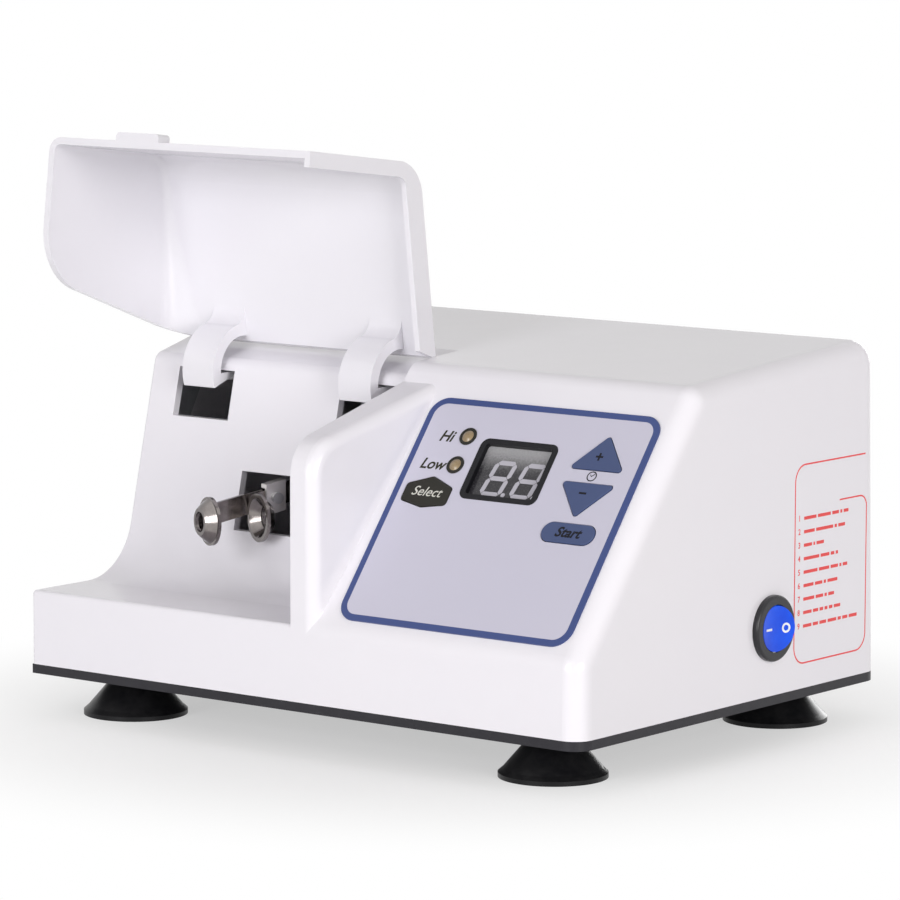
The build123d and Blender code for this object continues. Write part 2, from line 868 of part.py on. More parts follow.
def make_bracket(x_left, shelf):
    """Hinge bracket: cross plate behind the wall under a slot, and an ear each side for the rod."""
    low = slot_bottom - bracket_foot
    left_ear = x_left - bracket_gap - bracket_thick
    right_ear = x_left + slot_width + bracket_gap
    y_low, z_low = wall_point(low, wall)
    y_mid, z_mid = wall_point(slot_bottom - bracket_gap, wall)
    y_top, z_top = wall_point(slot_top - 2, wall)
    back = bracket_thick / cos(radians(wall_lean_angle))
    corners = [(y_low, z_low), (y_low + back, z_low), (y_mid + back, z_mid), (y_mid, z_mid)]
    plate = Polygon(*corners, align=None)
    eye = rod_radius + bracket_thick
    ear = Polygon(
        (y_low, z_low),
        (y_low + back, z_low),
        (pivot_depth + eye, pivot_z - eye),
        (pivot_depth + eye, pivot_z),
        (pivot_depth, pivot_z + rod_radius),
        (y_top, z_top),
        align=None,
    )
    bracket = prism(plate, left_ear, right_ear + bracket_thick)
    bracket += prism(ear, left_ear, left_ear + bracket_thick)
    bracket += prism(ear, right_ear, right_ear + bracket_thick)
    if shelf:
        floor = micro_floor()
        rear = micro_front() + micro_length + bracket_thick
        shelf_y = (wall_point(floor - deck, wall)[0] + bracket_gap, rear)
        bracket += block((micro_left(), right_ear + bracket_thick), shelf_y, (floor - bracket_thick, floor))
        rib_y = (wall_point(floor - deck + micro_tall, wall)[0] + bracket_gap, rear)
        rib_z = (floor - bracket_thick, floor + micro_tall)
        bracket += block((right_ear, right_ear + bracket_thick), rib_y, rib_z)
    bracket -= rod_x(left_ear - 1, right_ear + 2 * bracket_thick, pivot_depth, pivot_z, rod_radius)
    bracket -= bracket_stakes(x_left, stake_radius + fit_gap, 0, 4 * wall)
    return bracket


# ------------------------------------------------------------------ safety microswitch
def micro_left():
    return arm_lefts()["lid_arm_right"] + (arm_width - micro_width) / 2


def micro_front():
    return pivot_depth + arm_outer_radius * 0.62


def micro_floor():
    return pivot_z - arm_outer_radius * 0.76 - micro_tall - micro_drop


def make_microswitch():
    left = micro_left()
    front = micro_front()
    floor = micro_floor()
    body = block((left, left + micro_width), (front, front + micro_length), (floor, floor + micro_tall))
    z = floor + micro_hole_height
    for reach in micro_holes:
        body -= rod_x(left - 1, left + micro_width + 1, front + reach, z, micro_hole_radius)
    return body


def make_lever():
    left = micro_left() + lever_inset
    right = micro_left() + micro_width - lever_inset
    front = micro_front() + 1
    rear = micro_front() + micro_length - lever_root / 2
    low = micro_floor() + micro_tall + lever_gap
    strip = Polygon(
        (rear, low),
        (front, low + lever_rise),
        (front, low + lever_rise + lever_thick),
        (rear, low + lever_thick),
        align=None,
    )
    return prism(strip, left, right)


# ------------------------------------------------------------------ console parts
def make_overlay():
    face = Pos(overlay_left + overlay_width / 2, overlay_low + overlay_length / 2)
    face = face * RectangleRounded(overlay_width, overlay_length, overlay_radius)
    film = on_panel(face, -overlay_thick, 0)
    film -= on_panel(window_outline(fit_gap), -1, 1)
    for outline_of, _ in key_list().values():
        film -= on_panel(outline_of(key_gap), -1, 1)
    for s in (led_hi_s, led_low_s):
        film -= on_panel(Pos(led_x, s) * Circle(led_radius + fit_gap), -1, 1)
    return film


def make_window():
    """Clear pane set flush in the overlay, seated on the display module."""
    return on_panel(window_outline(0), -overlay_thick - window_proud, display_top())


def display_top():
    """Depth of the display module's face below the console surface."""
    return wall + display_seat


def make_led(s):
    place = Pos(led_x, s)
    barrel = on_panel(place * Circle(led_radius), -overlay_thick, board_depth - led_flange)
    dome_radius = (led_radius**2 + led_proud**2) / (2 * led_proud)
    dome_centre = panel.from_local_coords((led_x, s, overlay_thick + led_proud - dome_radius))
    dome = Pos(dome_centre) * Sphere(dome_radius)
    dome &= on_panel(place * Circle(led_radius), -overlay_thick - 2 * led_proud, -overlay_thick + 0.2)
    base = on_panel(place * Circle(led_radius + 0.5), board_depth - led_flange, board_depth)
    return barrel + dome + base


def make_key(outline_of, stem):
    """Key cap through the overlay and the wall, with its stem down to the tact switch."""
    cap = on_panel(outline_of(0), -overlay_thick - key_proud, wall + 0.5)
    cap = chamfer(cap.faces().sort_by(Axis((0, 0, 0), panel_normal))[-1].edges(), key_edge)
    tip = board_depth - tact_height - tact_plunger_proud
    return cap + on_panel(Pos(*stem) * Circle(key_stem_radius), wall, tip)


def make_plunger(stem):
    """Tact switch plunger, from the key's stem into the switch body."""
    top = board_depth - tact_height - tact_plunger_proud
    return on_panel(Pos(*stem) * Circle(tact_plunger_radius), top, board_depth - 2 * tact_plunger_proud)


def make_tact_switches():
    switches = []
    for _, stem in key_list().values():
        square = Pos(*stem) * Rectangle(tact_size, tact_size)
        well = Pos(*stem) * Circle(tact_plunger_radius + tact_play)
        well_floor = board_depth - 2 * tact_plunger_proud + 2 * key_travel
        body = on_panel(square, board_depth - tact_height, board_depth)
        switches.append(body - on_panel(well, board_depth - tact_height - 1, well_floor))
    return group(switches)


def make_board():
    centre = Pos(board_left + board_width / 2, board_low + board_length / 2)
    board = on_panel(centre * Rectangle(board_width, board_length), board_depth, board_depth + board_thick)
    for place in board_corners():
        hole = Pos(*place) * Circle(screw_radius)
        board -= on_panel(hole, board_depth - 1, board_depth + board_thick + 1)
    return board


def make_standoffs():
    posts = []
    for place in board_corners():
        post = on_panel(Pos(*place) * RegularPolygon(standoff_radius, 6), wall, board_depth)
        pilot = Pos(*place) * Circle(screw_radius)
        post -= on_panel(pilot, board_depth - standoff_grip * standoff_length, board_depth + 1)
        posts.append(post)
    return group(posts)


def make_board_screws():
    screws = []
    back = board_depth + board_thick
    for place in board_corners():
        head = on_panel(Pos(*place) * Circle(screw_head_radius), back, back + screw_head_thick)
        shank = Pos(*place) * Circle(screw_radius - fit_gap / 2)
        screws.append(head + on_panel(shank, board_depth - screw_grip * standoff_length, back + 1))
    return group(screws)


def make_display():
    outline = Pos(window_left + window_width / 2, window_low + window_length / 2)
    outline = outline * Rectangle(window_width - display_border, window_length - display_border)
    return on_panel(outline, display_top(), board_depth)


def make_chips():
    """Controller, driver and buffer capacitor on the board."""
    row = board_low + chip_row
    low = board_depth - chip_thick
    controller = Pos(board_left + controller_place * board_width, row)
    controller = controller * Rectangle(controller_share * board_width, chip_width)
    driver = Pos(board_left + driver_place * board_width, row)
    driver = driver * Rectangle(driver_share * board_width, chip_width)
    capacitor = Pos(board_left + capacitor_place * board_width, row + capacitor_rise)
    capacitor = on_panel(capacitor * Circle(capacitor_radius), wall + capacitor_gap, board_depth)
    return group([on_panel(controller, low, board_depth), on_panel(driver, low, board_depth), capacitor])


# ------------------------------------------------------------------ rocker switch
def make_switch_body():
    z = deck + switch_height
    bezel = rod_x(body_width, body_width + bezel_proud, switch_depth, z, bezel_radius)
    bezel = fillet(bezel.faces().sort_by(Axis.X)[-1].edges(), bezel_edge)
    body = bezel + rod_x(body_width - barrel_length, body_width + 0.5, switch_depth, z, barrel_radius)
    pocket_floor = body_width + rocker_pivot_proud - rocker_radius - 1
    body -= rod_x(pocket_floor, body_width + bezel_proud + 1, switch_depth, z, bezel_opening)
    back = body_width - barrel_length
    for shift in (-tag_pitch, 0.0, tag_pitch):
        y_span = (switch_depth + shift - tag_thick / 2, switch_depth + shift + tag_thick / 2)
        body += block((back - tag_length, back + 0.5), y_span, (z - tag_width / 2, z + tag_width / 2))
    return body - make_rocker_pin()


def make_rocker():
    """Round rocker with a dished face, turned so that its front half is pressed in."""
    z = deck + switch_height
    high = rocker_radius * sin(radians(rocker_edge_angle))
    reach = rocker_radius * cos(radians(rocker_edge_angle))
    dish_radius = (reach**2 + rocker_dish**2) / (2 * rocker_dish)
    ball = Rot(0, 90, 0) * Sphere(rocker_radius)
    across = (-rocker_radius, rocker_radius)
    rocker = ball & block((-rocker_floor, high), across, across)
    rocker -= Pos(high - rocker_dish + dish_radius, 0, 0) * Cylinder(dish_radius, 4 * rocker_radius)
    rocker -= Cylinder(rocker_pin_radius + rod_play, 4 * rocker_radius)
    return Pos(body_width + rocker_pivot_proud, switch_depth, z) * Rot(0, 0, -rocker_tilt) * rocker


def make_rocker_pin():
    """Pin across the switch body, which the rocker turns on."""
    z = deck + switch_height
    half = bezel_opening + 0.6
    return rod_z(body_width + rocker_pivot_proud, switch_depth, z - half, z + half, rocker_pin_radius)


# ------------------------------------------------------------------ mixing drive
arm_frame = Plane(
    origin=(hub_x, hub_depth, 0),
    x_dir=(-sin(radians(arm_plan_angle)), -cos(radians(arm_plan_angle)), 0),
    z_dir=(-cos(radians(arm_plan_angle)), sin(radians(arm_plan_angle)), 0),
)
strip_inner = cup_radius - 0.4
strip_front_reach = front_cup_reach - cup_depth
strip_slope = (hub_height - capsule_height) / (strip_front_reach - strip_bend_reach)


def along_arm(points, side_from, side_to):
    """Plate drawn in the arm's upright plane: (reach, height) points, between two sideways offsets."""
    face = Polygon(*points, align=None)
    return extrude(arm_frame.offset(side_from) * face, amount=side_to - side_from, dir=arm_frame.z_dir)


def strip_height_at(reach):
    """Height of the strip's middle at a reach from the hub."""
    if reach <= strip_bend_reach:
        return hub_z
    return hub_z - (reach - strip_bend_reach) * strip_slope


def strip_band(reach_from, reach_to, half):
    """Corner points of a band that follows the strip."""
    reaches = [reach_from, reach_to]
    if reach_from < strip_bend_reach < reach_to:
        reaches.insert(1, strip_bend_reach)
    upper = [(reach, strip_height_at(reach) + half) for reach in reaches]
    lower = [(reach, strip_height_at(reach) - half) for reach in reversed(reaches)]
    return upper + lower


def capsule_frame(reach):
    """Plane across the capsule axis at a reach, facing away from the hub."""
    heading = (-sin(radians(arm_plan_angle)), -cos(radians(arm_plan_angle)), 0)
    origin = (
        hub_x + reach * heading[0],
        hub_depth + reach * heading[1],
        deck + capsule_height,
    )
    return Plane(origin=origin, z_dir=heading)


def make_cup(nose_reach, direction):
    """Dished cup with a hole in its nose; direction +1 points the nose away from the hub."""
    rim = cup_radius - cup_rim_width
    section = Polyline(
        (cup_hole_radius, 0),
        (cup_nose_radius, 0),
        (cup_nose_radius + cup_nose_break, -cup_nose_break),
        (rim, -cup_depth + cup_wall),
        (cup_radius, -cup_depth + cup_wall),
        (cup_radius, -cup_depth),
        (rim - cup_rim_width, -cup_depth),
        (cup_nose_radius - cup_wall / 3, -cup_wall),
        (cup_hole_radius, -cup_wall),
        close=True,
    )
    dish = revolve(Plane.XZ * make_face(section), axis=Axis.Z)
    place = capsule_frame(nose_reach)
    if direction < 0:
        place = Plane(origin=place.origin, x_dir=place.x_dir, z_dir=-place.z_dir)
    return place.location * dish


def make_mixing_arm():
    """Strip with the front cup bent from its end and two screw holes at its root."""
    band = strip_band(strip_root_reach, strip_front_reach + cup_wall, strip_height / 2)
    strip = along_arm(band, strip_inner, strip_inner + strip_thick)
    arm = strip + make_cup(front_cup_reach, 1)
    for reach in arm_screw_reaches():
        arm -= arm_hole(reach, screw_radius + screw_play, strip_inner - 1, strip_inner + strip_thick + 1)
    far = strip_inner + strip_thick + 1
    return arm - arm_hole(clamp_screw_reach(), screw_radius + screw_play, 0, far)


def arm_hole(reach, radius, side_from, side_to):
    """Cylinder across the strip at a reach."""
    circle = Pos(reach, strip_height_at(reach)) * Circle(radius)
    return extrude(arm_frame.offset(side_from) * circle, amount=side_to - side_from, dir=arm_frame.z_dir)


def arm_screw_reaches():
    return (hub_block_reach - 2 * screw_head_radius - 2.8, hub_block_reach - screw_head_radius - 0.15)


def clamp_screw_reach():
    return clamp_reach + clamp_length / 2


def make_rear_cup():
    """Cup that faces the front one, with a tab that lies on the strip."""
    nose = front_cup_reach - capsule_gap
    rim = nose + cup_depth
    band = strip_band(clamp_reach - 1, rim - cup_wall / 2, strip_height / 2 - 0.5)
    tab = along_arm(band, strip_inner - strip_thick, strip_inner)
    beyond = strip_band(nose - cup_radius, rim + 1, strip_height)
    cup = make_cup(nose, -1) - along_arm(beyond, strip_inner, strip_inner + cup_radius)
    cup += tab
    return cup - arm_hole(clamp_screw_reach(), screw_radius + screw_play, 0, strip_inner + 1)


def make_clamp():
    """Bracket that presses the rear cup's tab against the strip."""
    half = clamp_height / 2
    band = strip_band(clamp_reach, clamp_reach + clamp_length, half)
    side = strip_inner - strip_thick
    plate = along_arm(band, side - clamp_thick, side)
    far = strip_inner + strip_thick
    for sign in (1, -1):
        edge_in = sign * (strip_height / 2 + clamp_gap)
        edge_out = sign * half
        reaches = (clamp_reach, clamp_reach + clamp_length)
        inner = [(reach, strip_height_at(reach) + edge_in) for reach in reaches]
        outer = [(reach, strip_height_at(reach) + edge_out) for reach in reversed(reaches)]
        plate += along_arm(inner + outer, side - clamp_thick, far)
    return plate - arm_hole(clamp_screw_reach(), screw_radius + screw_play, 0, far)


def make_clamp_screw():
    reach = clamp_screw_reach()
    side = strip_inner - strip_thick - clamp_thick
    far = strip_inner + strip_thick
    screw = arm_hole(reach, clamp_head_radius, side - screw_head_thick, side)
    screw += arm_hole(reach, screw_radius, side - 0.5, far + 1.5 * screw_head_thick)
    nut = Pos(reach, strip_height_at(reach)) * RegularPolygon(screw_head_radius, 6)
    return screw + extrude(arm_frame.offset(far) * nut, amount=screw_head_thick, dir=arm_frame.z_dir)


def make_hub():
    """Hub with a spherical bore, a block that carries the strip and a lug for the springs."""
    centre = Pos(hub_x, hub_depth, hub_z)
    half = strip_height / 2 + 1
    near = hub_block_reach - hub_block_length
    low = hub_z - half
    high = hub_z + half
    points = [(near, low), (hub_block_reach, low), (hub_block_reach, high), (near, high)]
    hub = rod_x(hub_x - hub_width / 2, hub_x + hub_width / 2, hub_depth, hub_z, hub_radius)
    hub += along_arm(points, -1, strip_inner)
    hub += block(
        (hub_x - lug_thick / 2, hub_x + lug_thick / 2),
        (hub_depth + hub_radius - 2, hub_depth + spring_reach + spring_radius),
        (hub_z - spring_radius - 1, hub_z + spring_radius + 1),
    )
    shaft_way = shaft_radius + hub_width * tan(radians(swing_angle)) + 1
    hub -= rod_x(hub_x - 2 * hub_width, hub_x + 2 * hub_width, hub_depth, hub_z, shaft_way)
    hub -= centre * Rot(0, 90, 0) * Sphere(ball_radius + ball_gap)
    for reach in arm_screw_reaches():
        hub -= arm_hole(reach, screw_radius, strip_inner - arm_screw_depth - 1, strip_inner + 1)
    return hub


def make_arm_screws():
    screws = []
    far = strip_inner + strip_thick
    for reach in arm_screw_reaches():
        shank = arm_hole(reach, screw_radius - fit_gap / 2, strip_inner - arm_screw_depth, far + 0.5)
        screws.append(shank + arm_hole(reach, arm_screw_head, far, far + screw_radius))
    return group(screws)


def make_bush():
    """Ball bush on the shaft; its end faces lean, as its inner journal does."""
    bush = Rot(0, 90, 0) * Sphere(ball_radius)
    size = 4 * ball_radius
    for side in (-1, 1):
        beyond = Pos(side * (ball_width + size) / 2, 0, 0) * Box(size, size, size)
        bush -= Rot(0, 0, ball_tilt) * beyond
    bush -= rod_x(-ball_width, ball_width, 0, 0, shaft_radius)
    return Pos(hub_x, hub_depth, hub_z) * bush


def make_shaft():
    """Motor shaft from the far side of the bush to the rotor inside the can."""
    middle = motor_left + motor_length / 2
    shaft = rod_x(hub_x - ball_width / 2 - shaft_end, middle, hub_depth, hub_z, shaft_radius)
    left = motor_left + rotor_inset
    rotor = rod_x(left, left + motor_length - 2 * rotor_inset, hub_depth, hub_z, rotor_radius)
    left = hub_x + ball_width / 2 + 1
    collar = rod_x(left, left + collar_width, hub_depth, hub_z, shaft_radius + 2)
    return shaft + rotor + collar


def make_motor_can():
    right = motor_left + motor_length
    can = rod_x(motor_left, right, hub_depth, hub_z, motor_radius)
    can -= rod_x(motor_left - 1, right - motor_cap, hub_depth, hub_z, motor_radius - motor_wall)
    return can - rod_x(right - motor_cap - 1, right + 1, hub_depth, hub_z, shaft_radius + 1)


def make_motor_cap():
    """End cap at the drive end, with the front bearing seat."""
    cap = rod_x(motor_left - motor_cap, motor_left, hub_depth, hub_z, motor_radius)
    seat = motor_left + bearing_length
    cap += rod_x(motor_left - 0.5, seat, hub_depth, hub_z, shaft_radius + 4)
    cap -= rod_x(motor_left - motor_cap - 1, seat + 1, hub_depth, hub_z, shaft_radius + rod_play)
    for y, z in motor_screw_places():
        cap -= rod_x(motor_left - motor_cap - 1, motor_left + 1, y, z, screw_radius)
    return cap


def motor_screw_places():
    z = hub_z - motor_screw_drop
    return [(hub_depth - motor_screw_half, z), (hub_depth + motor_screw_half, z)]


def make_motor_bracket():
    """Upright plate at the motor's drive end, with a flanged foot on rubber grommets."""
    right = motor_left - motor_cap
    left = right - motor_plate
    foot_low = deck + grommet_height
    y_span = (plate_front, plate_rear)
    bracket = block((left, right), y_span, (foot_low, plate_top))
    bracket += block((left, left + motor_foot_length), y_span, (foot_low, foot_low + motor_plate))
    bracket -= rod_x(left - 1, right + 1, hub_depth, hub_z, motor_radius * 0.4)
    for y, z in motor_screw_places():
        bracket -= rod_x(left - 1, right + 1, y, z, screw_radius + fit_gap)
    for x, y in grommet_places():
        bracket -= rod_z(x, y, foot_low - 1, foot_low + motor_plate + 1, screw_radius + fit_gap)
    return bracket


def grommet_places():
    left = motor_left - motor_cap - motor_plate
    places = []
    for x in (left + 2 * grommet_inset, left + motor_foot_length - grommet_inset):
        places += [(x, plate_front + grommet_inset), (x, plate_rear - grommet_inset)]
    return places


def make_grommets():
    rings = []
    for x, y in grommet_places():
        ring = rod_z(x, y, deck, deck + grommet_height, grommet_radius)
        ring -= rod_z(x, y, deck - 1, deck + grommet_height + 1, screw_radius + fit_gap)
        rings.append(ring)
    return group(rings)


def make_motor_screws():
    screws = []
    for x, y in grommet_places():
        top = deck + grommet_height + motor_plate
        head = rod_z(x, y, top, top + screw_head_thick, screw_head_radius)
        screws.append(head + rod_z(x, y, deck, top + 0.5, screw_radius))
    left = motor_left - motor_cap - motor_plate
    for y, z in motor_screw_places():
        head = rod_x(left - screw_head_thick, left, y, z, screw_head_radius)
        screws.append(head + rod_x(left - 0.5, motor_left, y, z, screw_radius - fit_gap / 2))
    return group(screws)


def make_spring_bracket():
    """U-shaped bracket on the base that holds the outer ends of the centring springs."""
    half = lug_thick / 2 + spring_length
    thick = spring_plate
    middle = hub_depth + spring_reach
    y_span = (middle - spring_plate_width / 2, middle + spring_plate_width / 2)
    bracket = block((hub_x - half - thick, hub_x + half + thick), y_span, (deck, deck + thick))
    top = hub_z + 2 * spring_radius
    for low_x in (hub_x - half - thick, hub_x + half):
        bracket += block((low_x, low_x + thick), y_span, (deck, top))
    return bracket


def make_springs():
    """A centring spring each side of the hub's lug."""
    coils = []
    y = hub_depth + spring_reach
    for side in (1, -1):
        gap = 2 * spring_wire + 0.1
        length = spring_length - 2 * gap
        helix = Helix(pitch=length / spring_turns, height=length, radius=spring_radius - spring_wire)
        tangent = helix % 0
        wire = sweep(Plane(origin=helix @ 0, z_dir=tangent) * Circle(spring_wire), path=helix)
        start = hub_x + side * (lug_thick / 2 + gap)
        coils.append(Pos(start, y, hub_z) * Rot(0, side * 90, 0) * wire)
    return group(coils)


# ------------------------------------------------------------------ electrics
def make_inlet():
    """Three-pin appliance inlet in the rear wall."""
    floor = -inlet_hollow_depth
    half_w = inlet_hollow_width / 2
    half_t = inlet_hollow_tall / 2
    cut = inlet_corner
    inlet = rear_plate(inlet_x, RectangleRounded(inlet_width, inlet_tall, wall), 0, inlet_proud)
    inlet += rear_plate(inlet_x, inlet_body_outline(0), floor - 2, 0.5)
    hollow = Polygon(
        (-half_w, -half_t),
        (half_w, -half_t),
        (half_w, half_t - cut),
        (half_w - cut, half_t),
        (cut - half_w, half_t),
        (-half_w, half_t - cut),
        align=None,
    )
    inlet -= rear_plate(inlet_x, hollow, floor, inlet_proud + 1)
    for x, rise in ((-pin_pitch, -pin_rise), (0, pin_rise), (pin_pitch, -pin_rise)):
        pin = Pos(x, rise) * Rectangle(pin_width, pin_tall)
        inlet += rear_plate(inlet_x, pin, floor - pin_tail, -pin_recess)
    return inlet


def make_fuse_holder():
    holder = rear_plate(fuse_x, Circle(fuse_radius + 1), 0, fuse_flange)
    holder += rear_plate(fuse_x, Circle(fuse_barrel), -fuse_length, 0.5)
    return holder - rear_plate(fuse_x, Circle(fuse_bore), wall - fuse_length, 2 * fuse_flange)


def make_fuse_cap():
    """Screw-in cap with a coin slot and a stem that carries the fuse."""
    cap = rear_plate(fuse_x, Circle(fuse_radius - 0.5), fuse_flange, fuse_proud)
    cap += rear_plate(fuse_x, Circle(fuse_bore - screw_play), -fuse_stem, fuse_flange + 0.5)
    coin_slot = Rectangle(coin_slot_length, coin_slot_width)
    return cap - rear_plate(fuse_x, coin_slot, fuse_proud - coin_slot_width, fuse_proud + 1)


def make_core():
    """Laminated core with two windows, standing on the base."""
    half_w = core_width / 2
    half_d = core_depth / 4
    x = transformer_x
    y = transformer_y
    core = block((x - half_w, x + half_w), (y - half_d, y + half_d), (deck, deck + core_height))
    for side in (-1, 1):
        near = x + side * core_width * core_window_in
        far = x + side * core_width * core_window_out
        window_z = (deck + core_yoke, deck + core_height - core_yoke)
        core -= block((min(near, far), max(near, far)), (y - core_depth, y + core_depth), window_z)
    return core


def make_coil():
    """Winding round the core's middle leg."""
    x = transformer_x
    y = transformer_y
    half_x = core_width * core_window_out - coil_gap
    leg = core_width * core_window_in
    half_y = core_depth / 4 + coil_bulge
    low = deck + core_yoke + coil_gap
    high = deck + core_height - core_yoke - coil_gap
    coil = block((x - half_x, x + half_x), (y - half_y, y + half_y), (low, high))
    return coil - block((x - leg, x + leg), (y - core_depth / 4, y + core_depth / 4), (low - 1, high + 1))


def make_terminal_block():
    """Three-way terminal strip on the base."""
    right = terminal_x + terminal_ways * terminal_pitch
    rear = terminal_y + terminal_depth
    strip = block((terminal_x, right), (terminal_y, rear), (deck, deck + terminal_height))
    for index in range(terminal_ways):
        x = terminal_x + terminal_pitch * (index + 0.5)
        screw_y = terminal_y + terminal_depth / 3
        strip -= rod_z(x, screw_y, deck + terminal_height - 4, deck + terminal_height + 1, 2)
        strip -= block((x - 2, x + 2), (terminal_y - 1, rear + 1), (deck + 3, deck + terminal_height / 2))
    return strip


# ------------------------------------------------------------------ assembly
add("top_housing", make_housing())
add("base_plate", make_base())
add("base_screws", group([base_screw(x, y) for x, y in boss_places()]))
for foot_name, (foot_x, foot_y) in foot_places().items():
    add(foot_name, make_foot(foot_x, foot_y))
add("foot_screws", group([foot_screw(x, y) for x, y in foot_places().values()]))

lid_shut = make_lid_shut()
add("lid_shell", opened(lid_shut))
for arm_name, arm_left in arm_lefts().items():
    add(arm_name, opened(make_arm_shut(arm_left, lid_shut)))
rod_left = slot_left_x - bracket_gap - 2 * bracket_thick
rod_right = slot_right_x + slot_width + bracket_gap + 1.2 * bracket_thick
add("lid_hinge_rod", rod_x(rod_left, rod_right, pivot_depth, pivot_z, rod_radius))
add("hinge_bracket_left", make_bracket(slot_left_x, False))
add("hinge_bracket_right", make_bracket(slot_right_x, True))
add("lid_microswitch", make_microswitch())
add("microswitch_lever", make_lever())

add("panel_overlay", make_overlay())
add("display_window", make_window())
add("led_hi", make_led(led_hi_s))
add("led_low", make_led(led_low_s))
for key_name, (key_outline, key_stem) in key_list().items():
    add("key_" + key_name, make_key(key_outline, key_stem))
    add("tact_plunger_" + key_name, make_plunger(key_stem))
add("tact_switches", make_tact_switches())
add("control_board", make_board())
add("board_standoffs", make_standoffs())
add("board_screws", make_board_screws())
add("display_module", make_display())
add("board_chips", make_chips())

add("switch_body", make_switch_body())
add("switch_rocker", make_rocker())
add("rocker_pin", make_rocker_pin())

add("mixer_hub", make_hub())
add("mixing_arm", make_mixing_arm())
add("rear_cup", make_rear_cup())
add("clamp_bracket", make_clamp())
add("clamp_screw", make_clamp_screw())
add("arm_screws", make_arm_screws())
add("wobble_bush", make_bush())
add("motor_shaft", make_shaft())
add("motor_can", make_motor_can())
add("motor_end_cap", make_motor_cap())
add("motor_bracket", make_motor_bracket())
add("motor_grommets", make_grommets())
add("motor_screws", make_motor_screws())
add("spring_bracket", make_spring_bracket())
add("centring_springs", make_springs())

add("mains_inlet", make_inlet())
add("fuse_holder", make_fuse_holder())
add("fuse_cap", make_fuse_cap())
add("transformer_core", make_core())
add("transformer_coil", make_coil())
add("terminal_block", make_terminal_block())

os.makedirs("parts", exist_ok=True)
for name, shape in pieces.items():
    export_step(shape, f"parts/{name}.step")
print(len(pieces), "nodes; origin of the bench frame at", round(origin_x, 3), round(origin_y, 3))
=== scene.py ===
"""Dental amalgamator: finishes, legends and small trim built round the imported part.

Lengths are millimetres in the bench frame (X from the housing's left side, Y from its front, Z from the
table), and to_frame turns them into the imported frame's metres. Materials, the floor, the lamps and the
camera are in metres, and a noise or grain scale is per metre.
"""

import json
import math

import bpy
import numpy as np
from mathutils import Matrix, Vector


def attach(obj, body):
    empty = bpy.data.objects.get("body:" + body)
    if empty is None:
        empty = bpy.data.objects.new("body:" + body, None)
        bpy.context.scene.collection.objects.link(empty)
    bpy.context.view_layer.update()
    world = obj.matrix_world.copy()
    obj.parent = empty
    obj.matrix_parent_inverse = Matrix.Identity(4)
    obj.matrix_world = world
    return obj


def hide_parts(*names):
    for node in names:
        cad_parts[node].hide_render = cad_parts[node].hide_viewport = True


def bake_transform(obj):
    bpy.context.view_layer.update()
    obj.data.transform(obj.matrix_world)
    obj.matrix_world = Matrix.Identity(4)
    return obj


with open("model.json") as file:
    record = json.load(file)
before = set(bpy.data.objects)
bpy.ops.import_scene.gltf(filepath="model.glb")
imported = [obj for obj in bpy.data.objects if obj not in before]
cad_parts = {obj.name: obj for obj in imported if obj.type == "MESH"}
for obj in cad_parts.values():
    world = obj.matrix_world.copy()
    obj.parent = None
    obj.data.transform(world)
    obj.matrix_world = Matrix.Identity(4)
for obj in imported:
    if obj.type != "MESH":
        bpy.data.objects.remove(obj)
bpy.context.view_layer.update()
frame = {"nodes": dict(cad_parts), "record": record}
nodes = frame["nodes"]

# ---------------------------------------------------------------- places and sizes
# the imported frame's origin, in the bench frame
ORIGIN = np.array([123.175, 91.037, 0.0])
HOUSING_RIGHT = 241.4
DECK = 17.8
APRON_HEIGHT = 25.6
CONSOLE_TOP = 110.2
CONSOLE_RUN = 66.5
CONSOLE_LOW = DECK + APRON_HEIGHT
CONSOLE_TURN = math.atan2(CONSOLE_TOP - APRON_HEIGHT, CONSOLE_RUN)
# heights of the film and the keys over the slope, and of print over what carries it
FILM_TOP = 0.6
KEY_TOP = 1.0
PRINT = 0.03

ROCKER_PIVOT = np.array([242.3, 110.3, 41.4])
ROCKER_TILT = math.radians(-10.0)
ROCKER_HALF_ANGLE = math.radians(20.0)
ROCKER_RADIUS = 8.1
ROCKER_HIGH = ROCKER_RADIUS * math.sin(ROCKER_HALF_ANGLE)
ROCKER_REACH = ROCKER_RADIUS * math.cos(ROCKER_HALF_ANGLE)
ROCKER_DISH = 1.2
DISH_RADIUS = (ROCKER_REACH**2 + ROCKER_DISH**2) / (2 * ROCKER_DISH)


def to_frame(points):
    """Bench millimetres to packed-frame metres: subtract the origin, divide by a thousand."""
    return (np.asarray(points, float) - ORIGIN) / 1000.0


def on_console(x, s, h):
    """Console slope: x across, s up the slope from its lower edge, h out of it along its normal."""
    x, s, h = np.broadcast_arrays(np.asarray(x, float), np.asarray(s, float), np.asarray(h, float))
    c, n = math.cos(CONSOLE_TURN), math.sin(CONSOLE_TURN)
    return to_frame(np.stack([x, s * c - h * n, CONSOLE_LOW + s * n + h * c], -1))


def on_side(y, z, h):
    """Right side wall: y to the rear, z up, h out of the wall."""
    y, z, h = np.broadcast_arrays(np.asarray(y, float), np.asarray(z, float), np.asarray(h, float))
    return to_frame(np.stack([HOUSING_RIGHT + h, y, z], -1))


def on_rocker(y, z, h):
    """Dished rocker face: x = high - dish + R - sqrt(R^2 - y^2) + h, turned about the upright pivot."""
    y, z, h = np.broadcast_arrays(np.asarray(y, float), np.asarray(z, float), np.asarray(h, float))
    x = ROCKER_HIGH - ROCKER_DISH + DISH_RADIUS - np.sqrt(DISH_RADIUS**2 - y**2) + h
    c, n = math.cos(ROCKER_TILT), math.sin(ROCKER_TILT)
    return to_frame(np.stack([x * c - y * n, x * n + y * c, z], -1) + ROCKER_PIVOT)


# ---------------------------------------------------------------- meshes
SHARP_ANGLE = math.radians(35)


